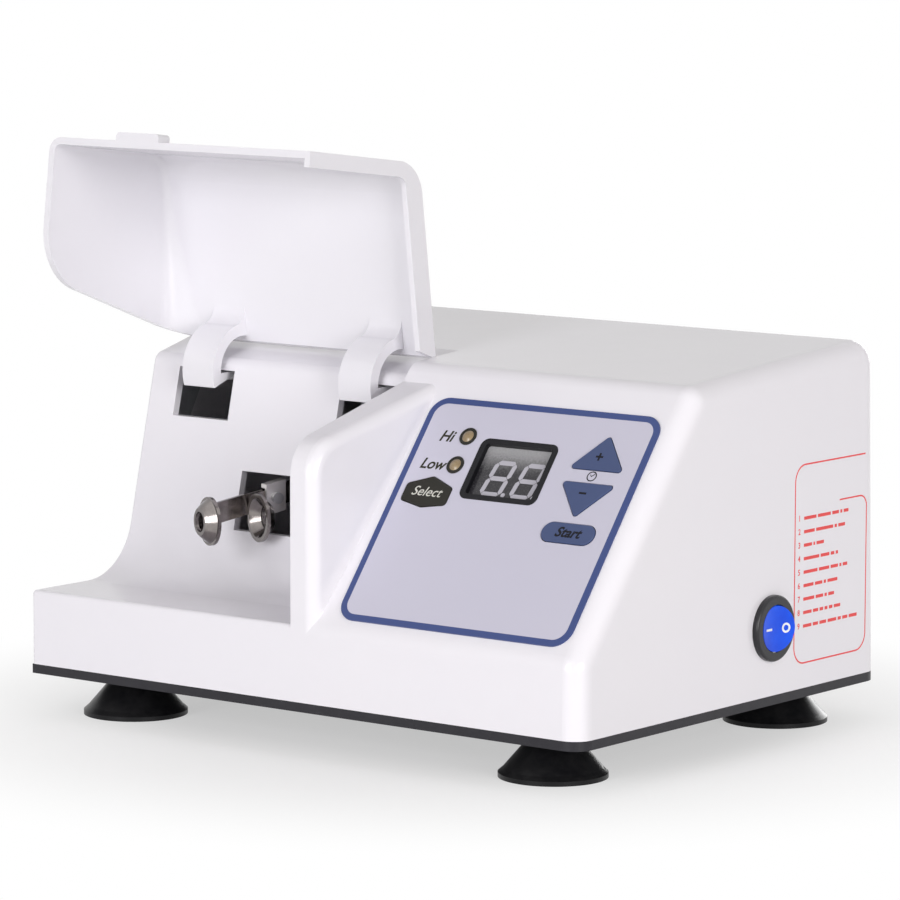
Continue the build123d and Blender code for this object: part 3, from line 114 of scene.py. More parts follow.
def piece(name, points, faces, finish, body, smooth=False):
    """A mesh object at the origin that rides on a body."""
    mesh = bpy.data.meshes.new(name)
    mesh.from_pydata([tuple(p) for p in np.asarray(points, float).reshape(-1, 3)], [], faces)
    mesh.validate()
    mesh.update()
    return placed(name, mesh, finish, body, smooth)


def placed(name, mesh, finish, body, smooth=False):
    """Link a finished mesh as a piece of the object; a piece given no body is left unattached."""
    mesh.polygons.foreach_set("use_smooth", np.full(len(mesh.polygons), smooth))
    if smooth:
        mesh.set_sharp_from_angle(angle=SHARP_ANGLE)
    mesh.materials.clear()
    mesh.materials.append(finish)
    obj = bpy.data.objects.new(name, mesh)
    bpy.context.scene.collection.objects.link(obj)
    if body:
        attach(obj, body)
    return obj


def band_faces(first, second, count):
    """Quads between two closed rings of so many points, from each ring's first point."""
    k = np.arange(count)
    n = (k + 1) % count
    return np.stack([first + k, first + n, second + n, second + k], -1).tolist()


def tube_faces(rings, count):
    """Quads of a tube: each closed ring of points joined to the next."""
    faces = []
    for ring in range(rings - 1):
        faces += band_faces(ring * count, (ring + 1) * count, count)
    return faces


def rounded_loop(outline, wider, longer, radius):
    """Rounded rectangle as points: an outline (middle x, middle s, width, length) made wider and longer.

    Four quarter circles of 14 points, anticlockwise, their centres one radius in from the corners.
    """
    x, s, width, length = outline
    hx, hs = (width + wider) / 2 - radius, (length + longer) / 2 - radius
    arcs = []
    for cx, cs, quarter in [(hx, hs, 0), (-hx, hs, 1), (-hx, -hs, 2), (hx, -hs, 3)]:
        t = np.linspace(0, math.pi / 2, 14) + quarter * math.pi / 2
        arcs.append(np.stack([x + cx + radius * np.cos(t), s + cs + radius * np.sin(t)], -1))
    return np.concatenate(arcs)


def circle_loop(x, s, radius, steps=64):
    """Circle as points, anticlockwise."""
    t = np.linspace(0, 2 * math.pi, steps, endpoint=False)
    return np.stack([x + radius * np.cos(t), s + radius * np.sin(t)], -1)


def ring_piece(name, outer, inner, low, high, surface, finish, body, slot):
    """Flat ring between two loops with as many points, from height low to high on a surface."""
    n = len(outer)
    loops = [(outer, low), (outer, high), (inner, high), (inner, low)]
    points = np.concatenate([surface(loop[:, 0], loop[:, 1], h) for loop, h in loops])
    faces = []
    for k in range(4):
        faces += band_faces(k * n, (k + 1) % 4 * n, n)
    return piece(name, points, faces, finish, body)


def plate_piece(name, loop, low, high, surface, finish, body, slot):
    """Flat plate inside one loop, from height low to high on a surface."""
    n = len(loop)
    points = np.concatenate([surface(loop[:, 0], loop[:, 1], low), surface(loop[:, 0], loop[:, 1], high)])
    faces = band_faces(0, n, n) + [list(range(n, 2 * n)), list(range(n - 1, -1, -1))]
    return piece(name, points, faces, finish, body)


def stroke_piece(name, path, width, low, high, surface, finish, body, slot, closed=False):
    """Printed line: a path offset half its width to each side along its own normals, made a thin solid."""
    path = np.asarray(path, float)
    step = (np.roll(path, -1, 0) - np.roll(path, 1, 0)) if closed else np.gradient(path, axis=0)
    step /= np.linalg.norm(step, axis=1, keepdims=True)
    side = np.stack([-step[:, 1], step[:, 0]], -1) * width / 2
    left, right = path + side, path - side
    if closed:
        return ring_piece(name, right, left, low, high, surface, finish, body, slot)
    return plate_piece(name, np.concatenate([right, left[::-1]]), low, high, surface, finish, body, slot)


def lettering(name, words, place, size, low, high, surface, finish, body, slot, slant=0.0, weight=0.0):
    """Plain-font words laid on a surface: the flat letters' (x, y) become its two directions."""
    curve = bpy.data.curves.new(name, "FONT")
    curve.body = words
    curve.size = size
    curve.shear = slant
    curve.offset = weight
    curve.align_x = "CENTER"
    curve.align_y = "CENTER"
    curve.extrude = 0.5
    curve.resolution_u = 6
    flat = bpy.data.objects.new(name + "_flat", curve)
    bpy.context.scene.collection.objects.link(flat)
    bpy.context.view_layer.update()
    mesh = bpy.data.meshes.new_from_object(flat.evaluated_get(bpy.context.evaluated_depsgraph_get()))
    bpy.data.objects.remove(flat)
    bpy.data.curves.remove(curve)
    mesh.name = name
    co = np.zeros(len(mesh.vertices) * 3)
    mesh.vertices.foreach_get("co", co)
    co = co.reshape(-1, 3)
    height = np.where(co[:, 2] > 0, high, low)
    mesh.vertices.foreach_set("co", surface(place[0] + co[:, 0], place[1] + co[:, 1], height).ravel())
    mesh.update()
    return placed(name, mesh, finish, body)


# ---------------------------------------------------------------- shader nodes
def noise_node(tree, vector, scale, detail, rough):
    """Noise on a vector at a scale given as a number or a socket."""
    noise = tree.nodes.new("ShaderNodeTexNoise")
    noise.inputs["Detail"].default_value = detail
    noise.inputs["Roughness"].default_value = rough
    tree.links.new(vector, noise.inputs["Vector"])
    if isinstance(scale, (int, float)):
        noise.inputs["Scale"].default_value = scale
    else:
        tree.links.new(scale, noise.inputs["Scale"])
    return noise.outputs["Fac"]


def maths(tree, operation, first, second, clamp=False):
    """One Math node; its inputs are numbers or sockets."""
    node = tree.nodes.new("ShaderNodeMath")
    node.operation = operation
    node.use_clamp = clamp
    for index, value in enumerate((first, second)):
        if isinstance(value, (int, float)):
            node.inputs[index].default_value = value
        else:
            tree.links.new(value, node.inputs[index])
    return node.outputs[0]


def smooth_rise(tree, value, low, high, start=0.0):
    """A value's smooth rise, from start where it is low to 1 where it is high."""
    node = tree.nodes.new("ShaderNodeMapRange")
    node.interpolation_type = "SMOOTHSTEP"
    node.inputs["From Min"].default_value = low
    node.inputs["From Max"].default_value = high
    node.inputs["To Min"].default_value = start
    tree.links.new(value, node.inputs["Value"])
    return node.outputs[0]


def blend_colours(tree, factor, first, second):
    """Mix of two colours by a factor; each is a socket or a colour."""
    node = tree.nodes.new("ShaderNodeMix")
    node.data_type = "RGBA"
    tree.links.new(factor, node.inputs[0])
    for index, value in ((6, first), (7, second)):
        if isinstance(value, tuple):
            node.inputs[index].default_value = (*value, 1.0)
        else:
            tree.links.new(value, node.inputs[index])
    return node.outputs[2]


def object_place(tree):
    """Object coordinates, which every piece shares because it sits at the origin."""
    return tree.nodes.new("ShaderNodeTexCoord").outputs["Object"]


def seen_directly(tree):
    """1 on camera, glossy and transmission rays, and 0 on the rays that light the object."""
    path = tree.nodes.new("ShaderNodeLightPath")
    seen = maths(tree, "MAXIMUM", path.outputs["Is Camera Ray"], path.outputs["Is Glossy Ray"])
    return maths(tree, "MAXIMUM", seen, path.outputs["Is Transmission Ray"])


def blend_surfaces(tree, factor, first, second, output):
    """Mix of two shaders by a factor, as the surface of an output node."""
    mix = tree.nodes.new("ShaderNodeMixShader")
    tree.links.new(factor, mix.inputs[0])
    tree.links.new(first.outputs[0], mix.inputs[1])
    tree.links.new(second.outputs[0], mix.inputs[2])
    tree.links.new(mix.outputs[0], tree.nodes[output].inputs["Surface"])


# ---------------------------------------------------------------- shared effects
def effect_group(name, inputs, outputs):
    """An empty shader node group; a socket whose name ends in Colour is a colour, the rest are numbers."""
    group = bpy.data.node_groups.new(name, "ShaderNodeTree")
    for labels, side in ((inputs, "INPUT"), (outputs, "OUTPUT")):
        for label in labels:
            kind = "NodeSocketColor" if label.endswith("Colour") else "NodeSocketFloat"
            group.interface.new_socket(name=label, in_out=side, socket_type=kind)
    return group, group.nodes.new("NodeGroupInput").outputs, group.nodes.new("NodeGroupOutput").inputs


def moulded_skin():
    """Moulded surface: slow drift between two colours, uneven gloss and fine skin relief."""
    group, given, result = effect_group(
        "moulded_skin",
        ("Colour", "Second Colour", "Drift Scale", "Drift", "Gloss", "Gloss Spread", "Skin Scale"),
        ("Colour", "Roughness", "Height"))
    place = object_place(group)
    drift = noise_node(group, place, given["Drift Scale"], detail=3.0, rough=0.55)
    drift = maths(group, "MULTIPLY", drift, given["Drift"], True)
    colour = blend_colours(group, drift, given["Colour"], given["Second Colour"])
    smear_scale = maths(group, "MULTIPLY", given["Drift Scale"], 5.0)
    smear = maths(group, "SUBTRACT", noise_node(group, place, smear_scale, detail=5.0, rough=0.6), 0.5)
    smear = maths(group, "MULTIPLY", smear, given["Gloss Spread"])
    rough = maths(group, "ADD", given["Gloss"], smear, True)
    skin = noise_node(group, place, given["Skin Scale"], detail=2.0, rough=0.45)
    group.links.new(colour, result["Colour"])
    group.links.new(rough, result["Roughness"])
    group.links.new(skin, result["Height"])
    return group


def drawn_grain():
    """Rolled or brushed metal: noise stretched along one direction for gloss, tone and relief."""
    group, given, result = effect_group(
        "drawn_grain",
        ("Colour", "Second Colour", "Gloss", "Gloss Spread", "Grain X", "Grain Y", "Grain Z"),
        ("Colour", "Roughness", "Height"))
    place = object_place(group)
    stretch = group.nodes.new("ShaderNodeCombineXYZ")
    for axis in "XYZ":
        group.links.new(given["Grain " + axis], stretch.inputs[axis])
    scaled = group.nodes.new("ShaderNodeVectorMath")
    scaled.operation = "MULTIPLY"
    group.links.new(place, scaled.inputs[0])
    group.links.new(stretch.outputs[0], scaled.inputs[1])
    grain = noise_node(group, scaled.outputs[0], 1.0, detail=3.0, rough=0.6)
    tarnish = noise_node(group, place, 90.0, detail=4.0, rough=0.6)
    tarnish = maths(group, "MULTIPLY", maths(group, "SUBTRACT", tarnish, 0.42), 3.0, True)
    colour = blend_colours(group, tarnish, given["Colour"], given["Second Colour"])
    uneven = maths(group, "MULTIPLY", maths(group, "SUBTRACT", grain, 0.5), given["Gloss Spread"])
    rough = maths(group, "ADD", given["Gloss"], uneven, True)
    group.links.new(colour, result["Colour"])
    group.links.new(rough, result["Roughness"])
    group.links.new(grain, result["Height"])
    return group


def settled_dust():
    """Dust that settles on upward faces: a colour and roughness shift in patches."""
    group, given, result = effect_group(
        "settled_dust", ("Colour", "Roughness", "Dust Colour", "Amount"), ("Colour", "Roughness"))
    place = object_place(group)
    facing = group.nodes.new("ShaderNodeSeparateXYZ")
    group.links.new(group.nodes.new("ShaderNodeNewGeometry").outputs["Normal"], facing.inputs[0])
    upward = maths(group, "MULTIPLY", maths(group, "ADD", facing.outputs["Z"], 0.25), 0.8, True)
    patches = maths(group, "SUBTRACT", noise_node(group, place, 160.0, detail=5.0, rough=0.65), 0.35)
    cover = maths(group, "MULTIPLY", maths(group, "MULTIPLY", patches, 3.0, True), upward)
    cover = maths(group, "MULTIPLY", cover, given["Amount"], True)
    colour = blend_colours(group, cover, given["Colour"], given["Dust Colour"])
    rough = maths(group, "ADD", given["Roughness"], maths(group, "MULTIPLY", cover, 0.5), True)
    group.links.new(colour, result["Colour"])
    group.links.new(rough, result["Roughness"])
    return group


SKIN = moulded_skin()
GRAIN = drawn_grain()
DUST = settled_dust()
DUST_COLOUR = (0.42, 0.41, 0.40)
# how soon the painted shade on turned-away metal sets in
PAINTED_EDGE_SHADE_BLEND = 0.55


# ---------------------------------------------------------------- materials
def start_finish(name):
    """A new material with only its Principled shader, and the tree it stands in."""
    material = bpy.data.materials.new(name)
    material.use_nodes = True
    return material, material.node_tree, material.node_tree.nodes["Principled BSDF"]


def place_group(tree, group, values):
    """Place a shared effect in a material with its own values."""
    node = tree.nodes.new("ShaderNodeGroup")
    node.node_tree = group
    for label, value in values.items():
        node.inputs[label].default_value = (*value, 1.0) if isinstance(value, tuple) else value
    return node


def relief(tree, height, shader, depth):
    """Bump from a height, as deep as depth, into a shader's normal."""
    bump = tree.nodes.new("ShaderNodeBump")
    bump.inputs["Distance"].default_value = depth
    tree.links.new(height, bump.inputs["Height"])
    tree.links.new(bump.outputs["Normal"], shader.inputs["Normal"])


def plastic(name, colour, second, gloss, spread=0.06, drift=0.6, drift_scale=9.0, skin_scale=1800.0,
            depth=0.00002, coat=0.0, coat_gloss=0.05, dust=0.0, painted_glow=None, shine=0.5):
    """Moulded plastic, film, paint or rubber; gloss is its roughness, shine its specular level, and a glow
    is painted light given off in its own colour though the part is no lamp.
    """
    material, tree, shader = start_finish(name)
    skin = place_group(tree, SKIN, {
        "Colour": colour, "Second Colour": second, "Drift Scale": drift_scale, "Drift": drift,
        "Gloss": gloss, "Gloss Spread": spread, "Skin Scale": skin_scale,
    })
    colour_out, rough_out = skin.outputs["Colour"], skin.outputs["Roughness"]
    if dust:
        layer = place_group(tree, DUST, {"Dust Colour": DUST_COLOUR, "Amount": dust})
        tree.links.new(colour_out, layer.inputs["Colour"])
        tree.links.new(rough_out, layer.inputs["Roughness"])
        colour_out, rough_out = layer.outputs["Colour"], layer.outputs["Roughness"]
    tree.links.new(colour_out, shader.inputs["Base Color"])
    tree.links.new(rough_out, shader.inputs["Roughness"])
    relief(tree, skin.outputs["Height"], shader, depth)
    shader.inputs["Specular IOR Level"].default_value = shine
    shader.inputs["Coat Weight"].default_value = coat
    shader.inputs["Coat Roughness"].default_value = coat_gloss
    # painted light: the part gives off its own colour though it is no lamp
    if painted_glow:
        tree.links.new(colour_out, shader.inputs["Emission Color"])
        shader.inputs["Emission Strength"].default_value = painted_glow
    return material


def metal(name, colour, second, gloss, spread=0.12, grain=(300.0, 300.0, 4000.0), depth=0.00001, edge=None):
    """Bare or plated metal with a drawn grain; edge is the darker colour where it turns away from the
    camera, a painted shade.
    """
    material, tree, shader = start_finish(name)
    grained = place_group(tree, GRAIN, {
        "Colour": colour, "Second Colour": second, "Gloss": gloss, "Gloss Spread": spread,
        "Grain X": grain[0], "Grain Y": grain[1], "Grain Z": grain[2],
    })
    colour_out = grained.outputs["Colour"]
    if edge:
        # painted shade: the colour darkens where the surface turns away from the camera
        turned = tree.nodes.new("ShaderNodeLayerWeight")
        turned.inputs["Blend"].default_value = PAINTED_EDGE_SHADE_BLEND
        colour_out = blend_colours(tree, turned.outputs["Facing"], colour_out, edge)
    tree.links.new(colour_out, shader.inputs["Base Color"])
    tree.links.new(grained.outputs["Roughness"], shader.inputs["Roughness"])
    relief(tree, grained.outputs["Height"], shader, depth)
    shader.inputs["Metallic"].default_value = 1.0
    return material


def display_glass(name, low_colour, reflection_colour, low_z, high_z):
    """Smoked display face that pales and dulls, in speckles, from its lower edge to its upper edge: the
    paling colour is a painted reflection.
    """
    material, tree, shader = start_finish(name)
    place = object_place(tree)
    height = tree.nodes.new("ShaderNodeSeparateXYZ")
    tree.links.new(place, height.inputs[0])
    # painted reflection: the colour rises from the smoked face's own dark towards a pale reflection colour
    # near the upper edge
    reflection_rise = smooth_rise(tree, height.outputs["Z"], low_z, high_z)
    speckle = maths(tree, "SUBTRACT", noise_node(tree, place, 1600.0, detail=3.0, rough=0.7), 0.5)
    factor = maths(tree, "ADD", reflection_rise, maths(tree, "MULTIPLY", speckle, 0.5), True)
    rough = maths(tree, "ADD", maths(tree, "MULTIPLY", factor, 0.15), 0.2)
    tree.links.new(blend_colours(tree, factor, low_colour, reflection_colour), shader.inputs["Base Color"])
    tree.links.new(rough, shader.inputs["Roughness"])
    shader.inputs["Specular IOR Level"].default_value = 0.3
    shader.inputs["Coat Weight"].default_value = 0.3
    shader.inputs["Coat Roughness"].default_value = 0.04
    return material


# ---------------------------------------------------------------- finishes
SHELL_WHITE = plastic("shell_white", (0.82, 0.81, 0.86), (0.87, 0.85, 0.87), 0.24, 0.08, drift=0.8,
                      drift_scale=7.0, skin_scale=900.0, depth=0.00001, coat=0.15, coat_gloss=0.06)
# the lid's copy of the shell white, made darker and less blue: painted shade on the same white plastic
SHADED_GUARD_WHITE = plastic("shaded_guard_white", (0.79, 0.78, 0.82), (0.83, 0.82, 0.85), 0.17, 0.06, drift=0.8,
                      drift_scale=10.0, skin_scale=900.0, depth=0.00001, coat=0.4)
BASE_DARK = plastic("base_dark", (0.014, 0.013, 0.018), (0.026, 0.025, 0.030), 0.36, 0.12, drift=0.7,
                    drift_scale=25.0, skin_scale=3500.0, depth=0.00003, dust=0.06, shine=0.3)
FOOT_RUBBER = plastic("foot_rubber", (0.003, 0.003, 0.004), (0.007, 0.007, 0.008), 0.34, 0.14, drift=0.8,
                      drift_scale=60.0, skin_scale=2200.0, dust=0.03, shine=0.22)
FILM = plastic("console_film", (0.565, 0.552, 0.655), (0.590, 0.580, 0.675), 0.38, 0.05,
               drift_scale=14.0, skin_scale=5200.0, depth=0.000006, coat=0.15, coat_gloss=0.22)
BORDER_BLUE = plastic("border_blue", (0.034, 0.060, 0.205), (0.044, 0.074, 0.230), 0.36, 0.05, drift=0.5,
                      drift_scale=30.0, skin_scale=5200.0, depth=0.000006, coat=0.1, coat_gloss=0.22,
                      shine=0.4)
KEY_BLUE = plastic("key_blue", (0.042, 0.066, 0.165), (0.054, 0.080, 0.190), 0.38, 0.05, drift_scale=60.0,
                   skin_scale=5200.0, depth=0.000006, coat=0.1, coat_gloss=0.22, shine=0.4)
KEY_OLIVE = plastic("key_olive", (0.012, 0.011, 0.007), (0.018, 0.017, 0.011), 0.38, 0.05,
                    drift_scale=60.0, skin_scale=5200.0, depth=0.000006, shine=0.3)
PRINT_BLACK = plastic("print_black", (0.004, 0.004, 0.008), (0.008, 0.008, 0.012), 0.40, 0.05, drift=0.5,
                      drift_scale=120.0, shine=0.2)
PRINT_OLIVE = plastic("print_olive", (0.022, 0.020, 0.009), (0.032, 0.030, 0.014), 0.40, 0.05, drift=0.5,
                      drift_scale=120.0, shine=0.25)
PRINT_PALE = plastic("print_pale", (0.62, 0.62, 0.56), (0.70, 0.70, 0.64), 0.40, 0.05, drift=0.5,
                     drift_scale=120.0)
PRINT_RED = plastic("print_red", (0.80, 0.060, 0.060), (0.84, 0.085, 0.080), 0.42, 0.05, drift=0.5,
                    drift_scale=120.0)
PRINT_WHITE = plastic("print_white", (0.84, 0.86, 0.88), (0.88, 0.89, 0.90), 0.35, 0.05, drift=0.5,
                      drift_scale=120.0)
LAMP_AMBER = plastic("lamp_amber", (0.19, 0.125, 0.055), (0.34, 0.26, 0.14), 0.28, 0.06, drift=1.0,
                     drift_scale=420.0, skin_scale=2500.0, depth=0.00001, coat=0.4)
GASKET = plastic("display_gasket", (0.004, 0.004, 0.006), (0.008, 0.008, 0.010), 0.34, 0.08,
                 drift_scale=60.0, shine=0.25)
# the display face's pale upper part is a painted reflection over its smoked dark colour
FACE_GREY_PAINTED_REFLECTION = display_glass("display_face", (0.022, 0.021, 0.025), (0.46, 0.46, 0.47), low_z=0.0955,
                          high_z=0.1068)
SEGMENT = plastic("display_segment", (0.43, 0.42, 0.47), (0.50, 0.49, 0.54), 0.30, 0.05, drift=1.0,
                  drift_scale=200.0, skin_scale=2500.0, depth=0.000004, coat=0.3, coat_gloss=0.04, shine=0.3)
SWITCH_BLACK = plastic("switch_black", (0.016, 0.016, 0.018), (0.026, 0.026, 0.030), 0.24, 0.08, drift=0.7,
                       drift_scale=80.0, skin_scale=2600.0, depth=0.00001, coat=0.08, coat_gloss=0.12,
                       dust=0.02, shine=0.35)
# the rocker's faint light of its own is painted light: it is no lamp
ROCKER_BLUE = plastic("rocker_blue", (0.000, 0.030, 0.52), (0.002, 0.095, 0.84), 0.18, 0.05, drift=1.3,
                      drift_scale=110.0, skin_scale=2600.0, depth=0.000004, coat=0.1, coat_gloss=0.03,
                      painted_glow=0.12, shine=0.3)
BLACK_PLASTIC = plastic("black_plastic", (0.018, 0.018, 0.020), (0.030, 0.030, 0.032), 0.48, 0.10,
                        drift=0.7, drift_scale=60.0, skin_scale=3000.0, depth=0.00003, dust=0.08)
TERMINAL_CREAM = plastic("terminal_cream", (0.62, 0.56, 0.42), (0.70, 0.65, 0.52), 0.45, 0.08, drift=0.7,
                         drift_scale=60.0)
BOARD_GREEN = plastic("board_green", (0.012, 0.120, 0.045), (0.020, 0.170, 0.065), 0.30, 0.08, drift=0.8,
                      drift_scale=90.0, skin_scale=2400.0, coat=0.4, coat_gloss=0.12)
MOTOR_BLACK = plastic("motor_black", (0.020, 0.020, 0.022), (0.035, 0.035, 0.038), 0.38, 0.10, drift=0.7,
                      drift_scale=50.0, skin_scale=2400.0, depth=0.00003)
COIL_TAPE = plastic("coil_tape", (0.50, 0.35, 0.045), (0.60, 0.45, 0.080), 0.28, 0.08, drift=0.8,
                    drift_scale=60.0, skin_scale=1500.0, depth=0.00003, coat=0.5, coat_gloss=0.1)
CORE_IRON = metal("core_iron", (0.10, 0.095, 0.090), (0.16, 0.15, 0.14), 0.55, 0.2,
                  grain=(300.0, 6000.0, 300.0), depth=0.00005)
STEEL = metal("plain_steel", (0.48, 0.48, 0.49), (0.60, 0.60, 0.61), 0.30)
ZINC = metal("zinc_sheet", (0.50, 0.52, 0.54), (0.64, 0.66, 0.68), 0.36, 0.2, grain=(900.0, 900.0, 900.0))
# the arm and cups' darker rim where they turn from the camera is painted shade
BRIGHT = metal("bright_plate", (0.26, 0.235, 0.225), (0.46, 0.42, 0.40), 0.17,
               grain=(500.0, 500.0, 2500.0), depth=0.000012, edge=(0.085, 0.075, 0.080))
CLAMP_PLATE = metal("clamp_plate", (0.74, 0.71, 0.70), (0.88, 0.86, 0.86), 0.42, 0.15,
                    grain=(900.0, 900.0, 900.0))
ALUMINIUM = metal("machined_aluminium", (0.62, 0.63, 0.65), (0.72, 0.73, 0.75), 0.32, 0.18,
                  grain=(3000.0, 400.0, 400.0))
BRASS = metal("turned_brass", (0.62, 0.44, 0.17), (0.74, 0.56, 0.26), 0.28, 0.15,
              grain=(3500.0, 400.0, 400.0))

FINISH_OF_SLOT = {
    "shell_white": SHELL_WHITE, "base_dark": BASE_DARK, "foot_rubber": FOOT_RUBBER, "steel": STEEL,
    "bracket_zinc": ZINC, "black_plastic": BLACK_PLASTIC, "terminal_cream": TERMINAL_CREAM,
    "overlay_film": FILM, "window_smoke": FACE_GREY_PAINTED_REFLECTION, "led_amber": LAMP_AMBER, "key_olive": KEY_OLIVE,
    "key_blue": KEY_BLUE, "board_green": BOARD_GREEN, "standoff_brass": BRASS, "switch_black": SWITCH_BLACK,
    "rocker_blue": ROCKER_BLUE, "hub_aluminium": ALUMINIUM, "arm_bright": BRIGHT, "bush_brass": BRASS,
    "motor_steel": MOTOR_BLACK, "core_iron": CORE_IRON, "coil_tape": COIL_TAPE,
}
# the lid and its arms take the darker copy of the shell white, which is painted shade
FINISH_OF_NODE = {
    "lid_shell": SHADED_GUARD_WHITE, "lid_arm_left": SHADED_GUARD_WHITE, "lid_arm_right": SHADED_GUARD_WHITE,
    "clamp_bracket": CLAMP_PLATE,
}
for part in frame["record"]["subparts"]:
    finish = FINISH_OF_NODE.get(part["node"], FINISH_OF_SLOT[part["material_slot"]])
    for holder in nodes[part["node"]].material_slots:
        holder.material = finish

# ---------------------------------------------------------------- console panel
# outlines: middle x, middle s, width, length
FILM_OUTLINE = (185.1, 50.0, 97.0, 89.2)
WINDOW_OUTLINE = (180.6, 68.2, 32.2, 23.6)
# loops about an outline: how much wider, how much longer, corner radius
BORDER_OUTER, BORDER_INNER = (0.1, 0.1, 7.05), (-4.6, -4.6, 4.8)
GASKET_OUTER, GASKET_INNER = (0.5, 0.5, 3.2), (-4.2, -3.6, 1.0)
FACE_EDGE = (-3.4, -2.8, 1.2)
# layers: lowest and highest height over the slope
FACE_TOP = -1.1
BORDER_LAYER = (0.02, FILM_TOP + PRINT)
GASKET_LAYER = (-1.6, FILM_TOP + 0.12)
FACE_LAYER = (-2.2, FACE_TOP)
FILM_INK = (FILM_TOP - 0.05, FILM_TOP + PRINT)
KEY_INK = (KEY_TOP - 0.05, KEY_TOP + PRINT)

ring_piece("panel_border", rounded_loop(FILM_OUTLINE, *BORDER_OUTER),
           rounded_loop(FILM_OUTLINE, *BORDER_INNER), *BORDER_LAYER, on_console, BORDER_BLUE, "body",
           "overlay_film")
gasket = ring_piece("display_gasket", rounded_loop(WINDOW_OUTLINE, *GASKET_OUTER),
                    rounded_loop(WINDOW_OUTLINE, *GASKET_INNER), *GASKET_LAYER, on_console, GASKET, "body",
                    "window_smoke")
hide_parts("display_window")
# the display face carries a painted reflection, paler towards its upper edge
plate_piece("display_face", rounded_loop(WINDOW_OUTLINE, *FACE_EDGE), *FACE_LAYER, on_console, FACE_GREY_PAINTED_REFLECTION,
            "body", "window_smoke")

DIGIT_LOW = 58.9
DIGIT_LEFT = {"digit_left": 170.5, "digit_right": 183.0}
DIGIT_WIDTH = 9.3
DIGIT_HEIGHT = 14.2
DIGIT_SLANT = 0.15
BAR_WIDTH = 1.75
BAR_GAP = 0.12
BAR_LAYER = (FACE_TOP - 0.2, FACE_TOP + PRINT)
# the point's middle, past the digit's right side and above its foot
POINT_PAST, POINT_ABOVE = 1.1, 1.0
POINT_RADIUS = 0.85


def bar_loop(start, end):
    """One display bar in the digit's own upright square: a long hexagon, anticlockwise."""
    start, end = np.array(start, float), np.array(end, float)
    along = (end - start) / np.linalg.norm(end - start)
    side = np.array([-along[1], along[0]]) * BAR_WIDTH / 2
    tip = along * BAR_WIDTH / 2
    near, far = start + along * BAR_GAP, end - along * BAR_GAP
    return np.array([near, near + tip - side, far - tip - side, far, far - tip + side, near + tip + side])


def digit_pieces(name, left):
    """Seven bars and a point; the digit leans by x = x + slant * s."""
    w, h = DIGIT_WIDTH - BAR_WIDTH, DIGIT_HEIGHT - BAR_WIDTH
    corner = {"a": (0, h), "b": (w, h), "c": (w, h / 2), "d": (0, h / 2), "e": (0, 0), "f": (w, 0)}
    for start, end in ("ab", "bc", "cf", "ef", "de", "ad", "dc"):
        loop = bar_loop(corner[start], corner[end]) + BAR_WIDTH / 2
        loop[:, 0] += left + DIGIT_SLANT * loop[:, 1]
        loop[:, 1] += DIGIT_LOW
        plate_piece(f"{name}_{start}{end}", loop, *BAR_LAYER, on_console, SEGMENT, "body", "window_smoke")
    point = circle_loop(left + DIGIT_WIDTH + POINT_PAST, DIGIT_LOW + POINT_ABOVE, POINT_RADIUS, 24)
    plate_piece(f"{name}_point", point, *BAR_LAYER, on_console, SEGMENT, "body", "window_smoke")


for name, left in DIGIT_LEFT.items():
    digit_pieces(name, left)

LAMP_MIDDLE = {"led_hi": (157.6, 80.1), "led_low": (157.6, 68.6)}
COLLAR_RADIUS, LAMP_RADIUS = 3.4, 2.25
COLLAR_LAYER = (FILM_TOP - 0.05, FILM_TOP + 0.28)
for lamp, middle in LAMP_MIDDLE.items():
    ring_piece(f"{lamp}_collar", circle_loop(*middle, COLLAR_RADIUS), circle_loop(*middle, LAMP_RADIUS),
               *COLLAR_LAYER, on_console, KEY_OLIVE, "body", "key_olive")

# legends on the film
FILM_LEGENDS = {"legend_hi": ("Hi", (148.7, 79.3), 6.0), "legend_low": ("Low", (148.0, 68.0), 5.8)}
CLOCK_RIM = circle_loop(214.6, 69.7, 1.75, 48)
CLOCK_HANDS = [(213.9, 70.3), (214.4, 69.6), (215.6, 70.7)]
RIM_WIDTH, HAND_WIDTH, MARK_WIDTH = 0.42, 0.36, 0.75
for name, (words, place, size) in FILM_LEGENDS.items():
    lettering(name, words, place, size, *FILM_INK, on_console, PRINT_OLIVE, "body", "key_olive",
              slant=0.25, weight=0.13)
stroke_piece("clock_rim", CLOCK_RIM, RIM_WIDTH, *FILM_INK, on_console, PRINT_BLACK, "body", "key_olive",
             closed=True)
stroke_piece("clock_hands", CLOCK_HANDS, HAND_WIDTH, *FILM_INK, on_console, PRINT_BLACK, "body", "key_olive")


# legends on the keys
def key_mark(name, key, start, end, lift=0.0):
    """Short printed stroke on a key; lift keeps it above one that it crosses."""
    low, high = KEY_INK
    stroke_piece(name, [start, end], MARK_WIDTH, low, high + lift, on_console, PRINT_BLACK, key, "key_olive")


key_mark("mark_plus_across", "key_plus", (213.1, 77.2), (216.1, 77.2))
key_mark("mark_plus_up", "key_plus", (214.6, 75.7), (214.6, 78.7), lift=0.005)
key_mark("mark_minus", "key_minus", (212.7, 62.8), (215.7, 62.8))
lettering("legend_start", "Start", (215.2, 47.3), 5.2, *KEY_INK, on_console, PRINT_BLACK, "key_start",
          "key_olive", slant=0.3, weight=0.15)
lettering("legend_select", "Select", (151.0, 56.9), 5.2, *KEY_INK, on_console, PRINT_PALE, "key_select",
          "key_olive", slant=0.3, weight=0.01)

